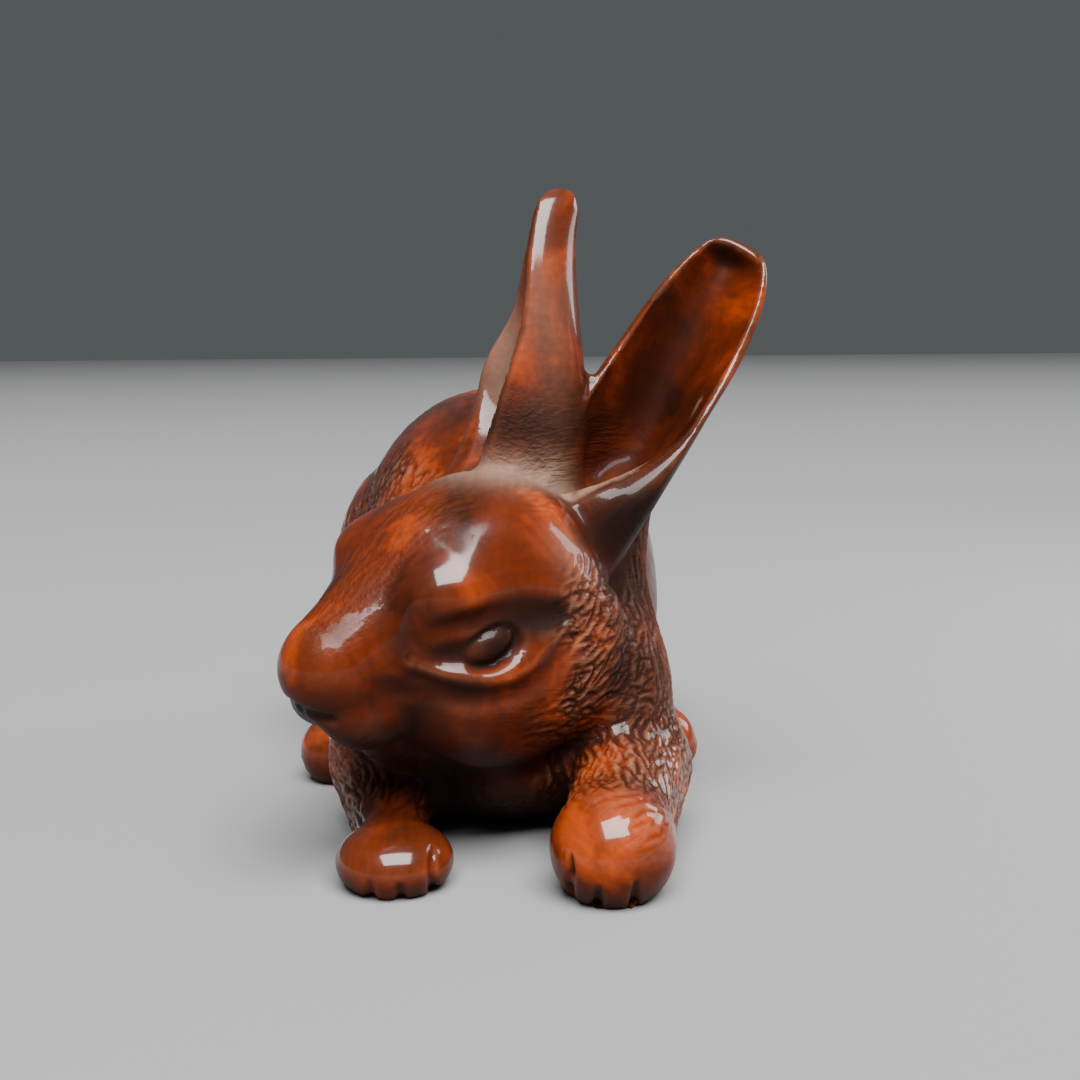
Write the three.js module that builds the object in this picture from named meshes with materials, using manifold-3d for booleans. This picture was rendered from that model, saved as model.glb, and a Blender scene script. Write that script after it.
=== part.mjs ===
// A boxwood rabbit carved from one block: it lies on its folded legs, forepaws ahead, with its head turned to its
// right and both ears up. Millimetres, +Z up. The rabbit's body faces -Y, and its own left side is +X.
// Each form of the body is a field: a function that is about the distance to its surface, negative in the wood.

import * as THREE from "three";
import { mergeVertices } from "three/addons/utils/BufferGeometryUtils.js";
import Module from "manifold-3d";

// Driving sizes
const HEIGHT = 64; // from the underside to the tip of the upright ear
const MODULE = HEIGHT / 64; // the layout grid: each place, radius and blend below is in modules
const EAR_WALL = 1.7; // wood behind an ear's hollow
const EAR_LIP = 0.9; // wood beside an ear's hollow, at its rim

// How the skin is cut into facets
const FACET = 1.18 * MODULE; // spacing at the eye
const FACET_GROWTH = 0.071; // how much wider each cell gets for each step away from the eye
const SLOPE_STEP = 0.02 * MODULE; // over which a field's slope is taken
const SKIN_STEPS = 4; // how often a corner is moved onto the surface
const LONGEST_MOVE = 0.5 * MODULE; // in one such step, along each axis
const LEAST_SQUARE = 0.05; // of the slope, so that flat places don't send a corner far off
const EVEN_STEPS = 3; // how often the corners are spaced evenly
const WELD = 0.04 * MODULE; // edges shorter than this are closed up
const EAR_STATIONS = 17; // sections along an ear
const EAR_STRIPS = 10; // strips around the back of an ear, and across its hollow
const EAR_LIP_POINTS = [0.08, 0.35, 0.7]; // points on the outer lip, as shares of its width
const EAR_TIGHTENING = 1.35; // how much closer together the sections are towards the tip
const EAR_END = 0.998; // the share of the length at the last section

const WOOD = new THREE.MeshStandardMaterial({ color: 0x7a3418, roughness: 0.28, metalness: 0 });

// Places

const at = (x, y, z) => new THREE.Vector3(x, y, z).multiplyScalar(MODULE);

// A frame with its origin and two of its directions; the third, side, completes them.
function frameOf(origin, forward, roughUp) {
  const y = forward.clone().normalize();
  const x = y.clone().cross(roughUp).normalize();
  const z = x.clone().cross(y);
  return new THREE.Matrix4().makeBasis(x, y, z).setPosition(origin);
}

// A field given in a frame's own coordinates, as one in the coordinates around it.
function inFrame(frame, field) {
  const m = frame.clone().invert().elements;
  return (x, y, z) =>
    field(
      m[0] * x + m[4] * y + m[8] * z + m[12],
      m[1] * x + m[5] * y + m[9] * z + m[13],
      m[2] * x + m[6] * y + m[10] * z + m[14],
    );
}

// Fields

const clamp = THREE.MathUtils.clamp;
const mix = THREE.MathUtils.lerp;

// Joins two fields with a fillet of about the given reach.
function blend(a, b, reach) {
  const near = Math.max(reach - Math.abs(a - b), 0) / reach;
  return Math.min(a, b) - (near * near * reach) / 4;
}

// Takes the second form out of the first, with an edge eased by about the given reach.
const carve = (wood, tool, reach) => -blend(-wood, tool, reach);

// Joins forms one after another: each entry is [field, fillet].
function joined(first, ...others) {
  return (x, y, z) => {
    let wood = first(x, y, z);
    for (const [form, fillet] of others) wood = blend(wood, form(x, y, z), fillet * MODULE);
    return wood;
  };
}

// The distance to an ellipse or ellipsoid with these radii, near its surface.
function ovalDistance(x, y, z, a, b, c) {
  const inside = Math.hypot(x / a, y / b, z / c);
  const slope = Math.hypot(x / (a * a), y / (b * b), z / (c * c));
  return slope > 0 ? (inside * (inside - 1)) / slope : -Math.min(a, b, c);
}

// An egg-shaped form. A positive tilt lifts its +Y end, and a positive turn takes that end towards -X.
function egg(centre, radii, tilt = 0, turn = 0) {
  const c = at(...centre);
  const [a, b, d] = radii.map((r) => r * MODULE);
  const [ct, st] = [Math.cos(THREE.MathUtils.degToRad(tilt)), Math.sin(THREE.MathUtils.degToRad(tilt))];
  const [cz, sz] = [Math.cos(THREE.MathUtils.degToRad(turn)), Math.sin(THREE.MathUtils.degToRad(turn))];
  return (x, y, z) => {
    const [dx, dy, dz] = [x - c.x, y - c.y, z - c.z];
    const [tx, ty] = [cz * dx + sz * dy, cz * dy - sz * dx];
    return ovalDistance(tx, ct * ty + st * dz, ct * dz - st * ty, a, b, d);
  };
}

// A limb: a rod with round ends, from one place and radius to another.
function limb(from, fromRadius, to, toRadius) {
  const a = at(...from);
  const along = at(...to).sub(a);
  const square = along.lengthSq();
  return (x, y, z) => {
    const [dx, dy, dz] = [x - a.x, y - a.y, z - a.z];
    const t = clamp((dx * along.x + dy * along.y + dz * along.z) / square, 0, 1);
    const radius = mix(fromRadius, toRadius, t) * MODULE;
    return Math.hypot(dx - t * along.x, dy - t * along.y, dz - t * along.z) - radius;
  };
}

// Limbs end to end: each knot is [place, radius].
function strand(...knots) {
  const limbs = knots.slice(1).map(([place, radius], n) => limb(...knots[n], place, radius));
  return (x, y, z) => Math.min(...limbs.map((part) => part(x, y, z)));
}

// The same form on both sides of the middle plane.
const paired = (field) => (x, y, z) => field(Math.abs(x), y, z);

// The body, in the rabbit's own coordinates

const trunk = joined(
  egg([0, 13, 23.5], [16.5, 25, 20], 6),
  [egg([0, -5, 15], [13.5, 14, 13.5]), 7],
  [egg([0, 22, 16.5], [16, 17.5, 17]), 6],
  [egg([1, -11, 20], [11.0, 8.5, 14], -12), 6],
  [egg([0, 2, 8], [13.5, 27, 9]), 5],
  [egg([0, -7, 7.5], [11.5, 12.5, 9]), 3],
);
const shoulders = paired(egg([9.8, -13, 12.5], [7.6, 11, 12.5], 14, 6));
const haunches = paired(egg([12.8, 17.0, 17.5], [7.0, 15.5, 16.5], -18, -5));
const hindFeet = paired(limb([15, 24, 4.2], 4.8, [18.4, 2.2, 3.4], 4.2));
const webs = paired(egg([13.2, 2.4, 5.2], [3.8, 5.8, 4.8])); // wood left between hind foot and belly
const tail = egg([0, 38.5, 13], [5.6, 4.6, 8.5], 16);
const leftForeleg = joined(
  limb([13.2, -18, 7.0], 5.8, [9.4, -34.5, 4.6], 5.1),
  [egg([9, -35.6, 4.2], [5.1, 5.4, 5.0]), 2.5],
);
const rightForeleg = joined(
  limb([-12.2, -15, 6.6], 5.6, [-10.8, -27.5, 2.2], 3.2),
  [egg([-10.5, -31.5, 2.4], [5.4, 5.4, 3.5]), 1.6],
);

const body = joined(
  trunk,
  [shoulders, 3.5],
  [hindFeet, 1.6],
  [webs, 1.6],
  [haunches, 1.4],
  [tail, 1.6],
  [leftForeleg, 2.2],
  [rightForeleg, 2.2],
  [limb([7.6, -12.5, 22], 6.6, [12.4, -9.6, 33], 3.6), 4],
  [limb([0, -14, 27], 6.5, [4.6, -13.6, 35], 3.4), 3],
);

// The cuts between the toes of the forepaws
const TOE_CUT = [0.55, 1.5, 2.6]; // half sizes of a cut
const TOE_LEAN = THREE.MathUtils.degToRad(-22); // how far its top leans back
const TOES = [
  [7.2, -40.4, 2.2],
  [10.7, -40.5, 2.2],
  [-12.4, -36.6, 1.6],
  [-8.9, -36.7, 1.6],
];

// The head, in its own frame: X to the rabbit's right, Y to the nose, Z to the crown

const HEAD_TURN = 49; // degrees towards the rabbit's right
const HEAD_TILT = 13; // degrees, left ear down
const HEAD_LIFT = -4; // degrees, nose up

function headFrame() {
  const [turn, tilt, lift] = [HEAD_TURN, HEAD_TILT, HEAD_LIFT].map(THREE.MathUtils.degToRad);
  const level = new THREE.Vector3(-Math.sin(turn), -Math.cos(turn), 0);
  const side = new THREE.Vector3(Math.cos(turn), -Math.sin(turn), 0);
  const up = new THREE.Vector3(0, 0, Math.cos(tilt)).addScaledVector(side, Math.sin(tilt));
  const forward = level.multiplyScalar(Math.cos(lift)).addScaledVector(up, Math.sin(lift));
  return frameOf(at(-4.0, -23.0, 24.0), forward, up);
}

const skull = joined(
  egg([0, -1.5, 1.8], [10.6, 12.6, 11.3]),
  [limb([0, 4, -2.6], 8.4, [0, 14.2, -3.4], 4.7), 6],
  [limb([0, 4.5, 3.3], 6.5, [0, 15.4, -1.2], 3.2), 4],
  [paired(egg([6.4, -0.6, -6.0], [5.6, 9.2, 7.4], 2)), 4],
  [paired(egg([7.4, -5.4, -2.6], [5.0, 7.6, 8.4], 0, 12)), 3],
  [paired(egg([2.6, 12.9, -6.8], [3.0, 4.1, 3.0], 8)), 1.4],
  [limb([0, 1, -10.4], 6.0, [0, 8.4, -10.8], 2.8), 2.2],
  [egg([0, 16.8, -2.5], [3.1, 2.5, 2.6]), 1.6],
  [paired(egg([5.4, 4.8, 4.6], [3.4, 5.4, 3.2], 14, -12)), 3],
);
const eyeHollows = paired(egg([11.0, 4.7, 1.0], [2.1, 3.3, 2.2], -22, 16));
const eyeballs = paired(egg([8.9, 4.7, 0.9], [1.7, 2.4, 1.55], -26, 16));
const browCreases = paired(strand([[9.2, 10.2, 3.0], 1.3], [[11.3, 4.8, 3.8], 1.6], [[12.4, -0.6, 3.8], 1.5]));
const mouths = paired(strand([[1.6, 14.2, -9.9], 0.9], [[5.6, 11.0, -9.8], 0.8], [[7.6, 8.8, -7.8], 0.6]));

function head(x, y, z) {
  let wood = skull(x, y, z);
  for (const [tool, ease] of [[browCreases, 1.6], [mouths, 1.2], [eyeHollows, 0.8]])
    wood = carve(wood, tool(x, y, z), ease * MODULE);
  return blend(wood, eyeballs(x, y, z), 0.3 * MODULE);
}
const HEAD = headFrame();
const NECK = 2; // the fillet between head and body
const headField = inFrame(HEAD, head);

// The ears: each is a leaf on a straight line from its root to its tip, open on the side that it faces

const EARS = {
  left: { root: [5.0, -20.6, 26.5], tip: [24.0, -11.8, 59.8], faces: [-0.3, -1, 0.1], outer: -1 },
  right: { root: [-3.2, -15.4, 27.0], tip: [4.6, -11.4, 64.6], faces: [-1, 0.02, 0.1], outer: 1 },
};
const EAR_WIDTH = 6.4 * MODULE; // half the width of an ear at its widest
const EAR_DEPTH = 9.0 * MODULE; // from the rim to the back, low on the ear
const EAR_ROOT_WIDTH = 0.66; // the width at the root, as a share of the widest
const EAR_WIDEST = [0.34, 0.66]; // how far up the inner and the outer half of an ear is widest
const EAR_THINNING = [0.32, 0.97, 0.44]; // where the depth starts and stops to shrink, and the share that is left
const EAR_TIP_POWER = [1.9, 2.6]; // how blunt the inner and the outer half of the tip is
const EAR_HOLLOW = [0.16, 0.5]; // how far up the hollow starts, and reaches its full width
const EAR_OPENING = [0.14, 0.32]; // how far up the hollow starts to deepen, and is at its full depth
const EAR_SLIT = 0.25; // how wide the hollow is at its start, as a share of half the width
const EAR_BOWL = 0.6; // how full the hollow's section is: 0.5 is an ellipse, more is closer to a V
const EAR_FLARE = 2.4 * MODULE; // how far the outer rim stands out, low on the ear
const EAR_FLARED = [0.05, 0.4, 0.5, 0.72]; // where it starts, is full, starts to shrink and stops
const EAR_DROP = 1.0 * MODULE; // how far the inner rim stands back
const EAR_DROPPED = [0.62, 0.14]; // where it does so, and over what share of the ear
const TIP_SINK = 0.28; // how far the tip lies back, as a share of the depth
const EAR_BULGE = [0.75, 0.12]; // how far the closed front stands out at the root and tip, as a share of the width

// How wide one half of an ear is, as a share of the widest, at a share of the length.
function earProfile(t, widest, power) {
  const past = clamp((t - widest) / (1 - widest), 0, 1);
  const growth = Math.sin((Math.PI / 2) * clamp(t / widest, 0, 1));
  return mix(EAR_ROOT_WIDTH, 1, growth) * (1 - past ** power) ** (1 / power);
}

// One section of an ear: points across (-1 inner rim to 1 outer rim) and out of the hollow, once around.
function earSection(t) {
  const [inner, outer] = [0, 1].map((side) => EAR_WIDTH * earProfile(t, EAR_WIDEST[side], EAR_TIP_POWER[side]));
  const rounding = Math.min((inner + outer) / EAR_WIDTH, 1);
  const [from, to, left] = EAR_THINNING;
  const depth = EAR_DEPTH * mix(1, left, THREE.MathUtils.smoothstep(t, from, to)) * rounding;
  const [start, full] = EAR_HOLLOW;
  const lip = EAR_LIP / EAR_WIDTH;
  const innerEdge = lip - 1;
  const widening = Math.sqrt(THREE.MathUtils.smoothstep(t, start, full));
  const outerEdge = mix(innerEdge + EAR_SLIT, 1 - lip, widening);
  const middle = (innerEdge + outerEdge) / 2;
  const reach = (outerEdge - innerEdge) / 2;
  const bulge = outer * mix(...EAR_BULGE, THREE.MathUtils.smoothstep(t, 0, full));
  const opening = THREE.MathUtils.smoothstep(t, ...EAR_OPENING);
  const [rise, high, fall, low] = EAR_FLARED;
  const flare = EAR_FLARE * THREE.MathUtils.smoothstep(t, rise, high) * (1 - THREE.MathUtils.smoothstep(t, fall, low));
  const drop = EAR_DROP * Math.exp(-(((t - EAR_DROPPED[0]) / EAR_DROPPED[1]) ** 2));
  const rim = (s) => (s > 0 ? flare : -drop) * s * s - (1 - rounding) * TIP_SINK * EAR_DEPTH;
  const closed = (s) => bulge * Math.sqrt(Math.max(1 - s * s, 0));
  const back = (s) => -depth * Math.sqrt(Math.max(1 - s * s, 0));
  const floor = (s) => {
    const bowl = Math.max(1 - ((s - middle) / reach) ** 2, 0) ** EAR_BOWL;
    return mix(closed(s), Math.min(mix(closed(s), back(s) + EAR_WALL, bowl), closed(s)), opening);
  };
  const around = [];
  for (let n = 0; n <= EAR_STRIPS; n++) {
    const s = -Math.cos((Math.PI * n) / EAR_STRIPS);
    around.push([s, back(s)]);
  }
  for (const share of EAR_LIP_POINTS) {
    const s = mix(1, outerEdge, share);
    around.push([s, closed(s)]);
  }
  for (let n = 0; n <= EAR_STRIPS; n++) {
    const s = middle + reach * Math.cos((Math.PI * n) / EAR_STRIPS);
    around.push([s, floor(s)]);
  }
  around.push([(innerEdge - 1) / 2, closed((innerEdge - 1) / 2)]);
  return around.map(([s, out]) => [s * (s > 0 ? outer : inner), out + rim(s)]);
}

// The rings of an ear in the rabbit's coordinates, closer together towards the tip.
function earRings(ear) {
  const root = at(...ear.root);
  const up = at(...ear.tip).sub(root);
  const frame = frameOf(root, new THREE.Vector3(...ear.faces).projectOnPlane(up.clone().normalize()), up);
  const rings = [];
  for (let n = 0; n <= EAR_STATIONS; n++) {
    const t = EAR_END * (1 - (1 - n / EAR_STATIONS) ** EAR_TIGHTENING);
    const place = ([across, out]) => new THREE.Vector3(across * ear.outer, out, t * up.length()).applyMatrix4(frame);
    rings.push(earSection(t).map(place));
  }
  return rings;
}

// Surfaces

// Positions from low to high, closest together at the focus.
function graded(low, high, focus) {
  const step = (place) => FACET + FACET_GROWTH * Math.abs(place - focus);
  const places = [focus];
  while (places[0] > low) places.unshift(places[0] - step(places[0]));
  while (places[places.length - 1] < high) places.push(places[places.length - 1] + step(places[places.length - 1]));
  return places;
}

// Moves a point onto the surface of a field, along its slope.
function settle(field, p, steps) {
  const h = SLOPE_STEP;
  for (let n = 0; n < steps; n++) {
    const value = field(p[0], p[1], p[2]);
    const slope = [
      (field(p[0] + h, p[1], p[2]) - field(p[0] - h, p[1], p[2])) / (2 * h),
      (field(p[0], p[1] + h, p[2]) - field(p[0], p[1] - h, p[2])) / (2 * h),
      (field(p[0], p[1], p[2] + h) - field(p[0], p[1], p[2] - h)) / (2 * h),
    ];
    const square = Math.max(slope[0] ** 2 + slope[1] ** 2 + slope[2] ** 2, LEAST_SQUARE);
    for (const i of [0, 1, 2]) p[i] -= clamp((value * slope[i]) / square, -LONGEST_MOVE, LONGEST_MOVE);
  }
}

// The skin of a field: one corner in each grid cell that the surface crosses, and one quad over each crossed edge.
function skin(field, xs, ys, zs) {
  const [nx, ny, nz] = [xs.length, ys.length, zs.length];
  const node = (i, j, k) => (k * ny + j) * nx + i;
  const values = new Float64Array(nx * ny * nz);
  for (let k = 0; k < nz; k++)
    for (let j = 0; j < ny; j++)
      for (let i = 0; i < nx; i++) values[node(i, j, k)] = field(xs[i], ys[j], zs[k]);

  const corners = [];
  const cornerOf = new Int32Array(nx * ny * nz).fill(-1);
  const cubeEdges = [];
  for (const axis of [0, 1, 2])
    for (const a of [0, 1])
      for (const b of [0, 1]) {
        const from = [0, 0, 0];
        from[(axis + 1) % 3] = a;
        from[(axis + 2) % 3] = b;
        const to = [...from];
        to[axis] = 1;
        cubeEdges.push([from, to]);
      }
  for (let k = 0; k < nz - 1; k++)
    for (let j = 0; j < ny - 1; j++)
      for (let i = 0; i < nx - 1; i++) {
        const sum = [0, 0, 0];
        let crossings = 0;
        for (const [from, to] of cubeEdges) {
          const a = values[node(i + from[0], j + from[1], k + from[2])];
          const b = values[node(i + to[0], j + to[1], k + to[2])];
          if (a < 0 === b < 0) continue;
          const t = a / (a - b);
          sum[0] += mix(xs[i + from[0]], xs[i + to[0]], t);
          sum[1] += mix(ys[j + from[1]], ys[j + to[1]], t);
          sum[2] += mix(zs[k + from[2]], zs[k + to[2]], t);
          crossings++;
        }
        if (!crossings) continue;
        cornerOf[node(i, j, k)] = corners.length;
        const corner = sum.map((s) => s / crossings);
        settle(field, corner, SKIN_STEPS);
        corners.push(corner);
      }

  const quads = [];
  const step = [1, nx, nx * ny];
  for (let k = 1; k < nz - 1; k++)
    for (let j = 1; j < ny - 1; j++)
      for (let i = 1; i < nx - 1; i++)
        for (const axis of [0, 1, 2]) {
          const here = node(i, j, k);
          const inside = values[here] < 0;
          if (inside === values[here + step[axis]] < 0) continue;
          const [u, v] = [step[(axis + 1) % 3], step[(axis + 2) % 3]];
          const ring = [here - u - v, here - v, here, here - u].map((n) => cornerOf[n]);
          quads.push(inside ? ring : ring.reverse());
        }

  spaceEvenly(field, corners, quads);
  return solidGeometry(corners, quads);
}

// Moves each corner towards the middle of its neighbours and back onto the surface.
function spaceEvenly(field, corners, quads) {
  for (let n = 0; n < EVEN_STEPS; n++) {
    const sums = corners.map(() => [0, 0, 0, 0]);
    for (const quad of quads)
      quad.forEach((c, i) => {
        for (const other of [quad[(i + 1) % 4], quad[(i + 3) % 4]]) {
          for (const axis of [0, 1, 2]) sums[c][axis] += corners[other][axis];
          sums[c][3]++;
        }
      });
    corners.forEach((corner, c) => {
      for (const axis of [0, 1, 2]) corner[axis] = mix(corner[axis], sums[c][axis] / sums[c][3], 0.5);
      settle(field, corner, 2);
    });
  }
}

// Quads as a closed triangle geometry, each split along its shorter diagonal.
function solidGeometry(corners, quads) {
  const far = (a, b) => Math.hypot(...corners[a].map((v, i) => v - corners[b][i]));
  const index = [];
  for (const [a, b, c, d] of quads) {
    if (far(a, c) <= far(b, d)) index.push(a, b, c, a, c, d);
    else index.push(a, b, d, b, c, d);
  }
  const geometry = new THREE.BufferGeometry();
  geometry.setAttribute("position", new THREE.Float32BufferAttribute(corners.flat(), 3));
  geometry.setIndex(index);
  return geometry;
}

// Rings of points joined by a wall, with an end over the first and the last.
function loft(rings) {
  const around = rings[0].length;
  const points = rings.flat();
  const index = [];
  for (let n = 0; n + 1 < rings.length; n++)
    for (let i = 0; i < around; i++) {
      const [a, b] = [n * around + i, n * around + ((i + 1) % around)];
      index.push(a, b, b + around, a, b + around, a + around);
    }
  for (const [start, turned] of [[0, true], [(rings.length - 1) * around, false]]) {
    const centre = points.length;
    const middle = new THREE.Vector3();
    for (let i = 0; i < around; i++) middle.addScaledVector(points[start + i], 1 / around);
    points.push(middle);
    for (let i = 0; i < around; i++) {
      const [a, b] = [start + i, start + ((i + 1) % around)];
      index.push(...(turned ? [b, a, centre] : [a, b, centre]));
    }
  }
  const geometry = new THREE.BufferGeometry().setFromPoints(points);
  geometry.setIndex(index);
  return geometry;
}

// Solids

const wasm = await Module();
wasm.setup();

function solidOf(geometry) {
  const bare = geometry.clone();
  bare.deleteAttribute("normal");
  bare.deleteAttribute("uv");
  const merged = mergeVertices(bare, 1e-5);
  return new wasm.Manifold(
    new wasm.Mesh({
      numProp: 3,
      vertProperties: new Float32Array(merged.attributes.position.array),
      triVerts: new Uint32Array(merged.index.array),
    }),
  );
}

// A solid's surface, with the ends of each edge shorter than the weld made one corner.
function geometryOf(solid) {
  const mesh = solid.getMesh();
  const corner = (n) => new THREE.Vector3().fromArray(mesh.vertProperties, 3 * n);
  const keeps = Array.from({ length: mesh.vertProperties.length / 3 }, (_, n) => n);
  const keptBy = (n) => (keeps[n] === n ? n : (keeps[n] = keptBy(keeps[n])));
  for (let n = 0; n < mesh.triVerts.length; n++) {
    const [a, b] = [mesh.triVerts[n], mesh.triVerts[n % 3 === 2 ? n - 2 : n + 1]];
    if (corner(a).distanceTo(corner(b)) < WELD) keeps[keptBy(Math.max(a, b))] = keptBy(Math.min(a, b));
  }
  const index = [];
  for (let n = 0; n < mesh.triVerts.length; n += 3) {
    const [a, b, c] = [0, 1, 2].map((i) => keptBy(mesh.triVerts[n + i]));
    if (a !== b && b !== c && c !== a) index.push(a, b, c);
  }
  const geometry = new THREE.BufferGeometry();
  geometry.setAttribute("position", new THREE.BufferAttribute(new Float32Array(mesh.vertProperties), 3));
  geometry.setIndex(index);
  return geometry;
}

function figureSolid() {
  const wood = (x, y, z) => blend(body(x, y, z), headField(x, y, z), NECK * MODULE);
  const [low, high, eye] = [at(-27, -50, -5), at(27, 52, 50), at(-2, -34, 22)];
  const [xs, ys, zs] = ["x", "y", "z"].map((axis) => graded(low[axis], high[axis], eye[axis]));
  return solidOf(skin(wood, xs, ys, zs));
}

function earSolid(ear) {
  const rings = earRings(ear);
  return solidOf(loft(ear.outer > 0 ? rings : rings.map((ring) => ring.reverse())));
}

// The cuts between the toes of a forepaw: each runs up the paw's front from a place at its foot.
function toeCuts() {
  const cut = new THREE.OctahedronGeometry(1, 1).scale(...TOE_CUT.map((v) => v * MODULE));
  return TOES.map(([x, y, z]) => solidOf(cut.clone().rotateX(TOE_LEAN).translate(...at(x, y, z).toArray())));
}

function groundSolid() {
  const size = 3 * HEIGHT;
  return solidOf(new THREE.BoxGeometry(size, size, size).translate(0, 0, -size / 2));
}

let carved = figureSolid().add(earSolid(EARS.left)).add(earSolid(EARS.right)).subtract(groundSolid());
for (const cut of toeCuts()) carved = carved.subtract(cut);

// The part: its origin is on the ground under the middle of its outer box
const rabbit = new THREE.Mesh(geometryOf(carved), WOOD);
rabbit.name = "rabbit";
rabbit.geometry.computeVertexNormals();
rabbit.geometry.computeBoundingBox();
const middle = rabbit.geometry.boundingBox.getCenter(new THREE.Vector3());
rabbit.position.set(-middle.x, -middle.y, 0);

const statue = new THREE.Group();
statue.add(rabbit);

export default statue;
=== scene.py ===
"""A small boxwood carving of a lying rabbit: its fine surface, its finish, and its light and camera.

The carving is worked in its own frame, in millimetres: the body faces -Y, its left side is +X, and z = 0
is the ground. Each form is a field, a function that is about the distance to its surface and negative
inside the wood.
"""

from __future__ import annotations

import logging
import math
from collections.abc import Callable, Sequence
from dataclasses import dataclass, field
from enum import Enum

import bpy
import numpy as np
from mathutils import Matrix, Vector, kdtree
from mathutils.bvhtree import BVHTree

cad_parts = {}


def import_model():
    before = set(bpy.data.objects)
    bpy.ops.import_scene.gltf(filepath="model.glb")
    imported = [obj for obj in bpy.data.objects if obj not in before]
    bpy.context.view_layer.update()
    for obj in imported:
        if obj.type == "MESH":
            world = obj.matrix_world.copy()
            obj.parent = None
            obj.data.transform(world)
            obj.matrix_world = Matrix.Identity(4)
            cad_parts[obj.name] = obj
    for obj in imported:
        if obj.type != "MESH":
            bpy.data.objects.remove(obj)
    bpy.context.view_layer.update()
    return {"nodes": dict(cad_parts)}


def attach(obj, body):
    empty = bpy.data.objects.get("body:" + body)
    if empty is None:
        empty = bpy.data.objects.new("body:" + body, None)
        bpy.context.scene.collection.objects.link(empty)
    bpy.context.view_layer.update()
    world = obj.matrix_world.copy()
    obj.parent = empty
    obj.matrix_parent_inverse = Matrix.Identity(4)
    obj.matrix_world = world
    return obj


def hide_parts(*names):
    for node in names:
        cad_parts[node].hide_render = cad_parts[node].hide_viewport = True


logging.basicConfig(level=logging.INFO, format="%(name)s: %(message)s")
log = logging.getLogger("rabbit")

Field = Callable[[np.ndarray], np.ndarray]
Values = np.ndarray | float  # one for each place, or the same for all
Pair = tuple[float, float]
Triple = tuple[float, float, float]
Four = tuple[float, float, float, float]

MILLI = 0.001
FAR = 50.0  # mm: a distance that no blend reaches
STRAND_REACH = 3.0  # mm: how far around it the field of a strand is worked out
MIDDLE = np.array([2.262, 1.190, 0.0])  # where the row's origin is in the carving's frame, mm


def to_row(points: np.ndarray) -> np.ndarray:
    """Turns places in the carving's frame, mm, into places in the row's frame, m."""
    return (points - MIDDLE) * MILLI


def from_row(points: np.ndarray) -> np.ndarray:
    """Turns places in the row's frame, m, into places in the carving's frame, mm."""
    return points / MILLI + MIDDLE


# Fields


def smooth_step(x: Values, low: Values, high: Values) -> Values:
    """Rises smoothly from 0 at low to 1 at high."""
    t = np.clip((x - low) / (high - low), 0.0, 1.0)
    return t * t * (3.0 - 2.0 * t)


def between(x: Values, rise: Values, full: Values, fall: Values, end: Values) -> Values:
    """Rises smoothly to 1 from rise to full, and goes back to 0 from fall to end."""
    return smooth_step(x, rise, full) * (1 - smooth_step(x, fall, end))


def blend(a: np.ndarray, b: np.ndarray, reach: float) -> np.ndarray:
    """Joins two distances with a fillet of about the given reach."""
    near = np.maximum(reach - np.abs(a - b), 0.0) / reach
    return np.minimum(a, b) - near * near * reach / 4.0


def carve(wood: np.ndarray, tool: np.ndarray, reach: float) -> np.ndarray:
    """Takes the tool out of the wood, with an edge eased by about the given reach."""
    return -blend(-wood, tool, reach)


def egg(centre: Triple, radii: Triple, tilt: float = 0.0, turn: float = 0.0) -> Field:
    """An egg-shaped form.

    Args:
        centre: its middle.
        radii: its three half sizes.
        tilt: degrees about X.
        turn: degrees about Z.

    Returns:
        The form's field.
    """
    ct, st = math.cos(math.radians(tilt)), math.sin(math.radians(tilt))
    cz, sz = math.cos(math.radians(turn)), math.sin(math.radians(turn))
    r = np.array(radii)

    def distance(p: np.ndarray) -> np.ndarray:
        """The distance to the egg from each place."""
        d = p - np.array(centre)
        x = cz * d[:, 0] + sz * d[:, 1]
        y = cz * d[:, 1] - sz * d[:, 0]
        q = np.stack([x, ct * y + st * d[:, 2], ct * d[:, 2] - st * y], axis=1)
        inside = np.linalg.norm(q / r, axis=1)
        slope = np.maximum(np.linalg.norm(q / (r * r), axis=1), 1e-6)
        return inside * (inside - 1.0) / slope

    return distance


def limb(start: Triple, start_radius: float, end: Triple, end_radius: float) -> Field:
    """A rod with round ends.

    Args:
        start: the middle of its first end.
        start_radius: its radius there.
        end: the middle of its other end.
        end_radius: its radius there.

    Returns:
        The form's field.
    """
    a = np.array(start)
    along = np.array(end) - a

    def distance(p: np.ndarray) -> np.ndarray:
        """The distance to the rod from each place."""
        d = p - a
        t = np.clip(d @ along / (along @ along), 0.0, 1.0)
        radius = start_radius + (end_radius - start_radius) * t
        return np.linalg.norm(d - t[:, None] * along, axis=1) - radius

    return distance


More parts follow.
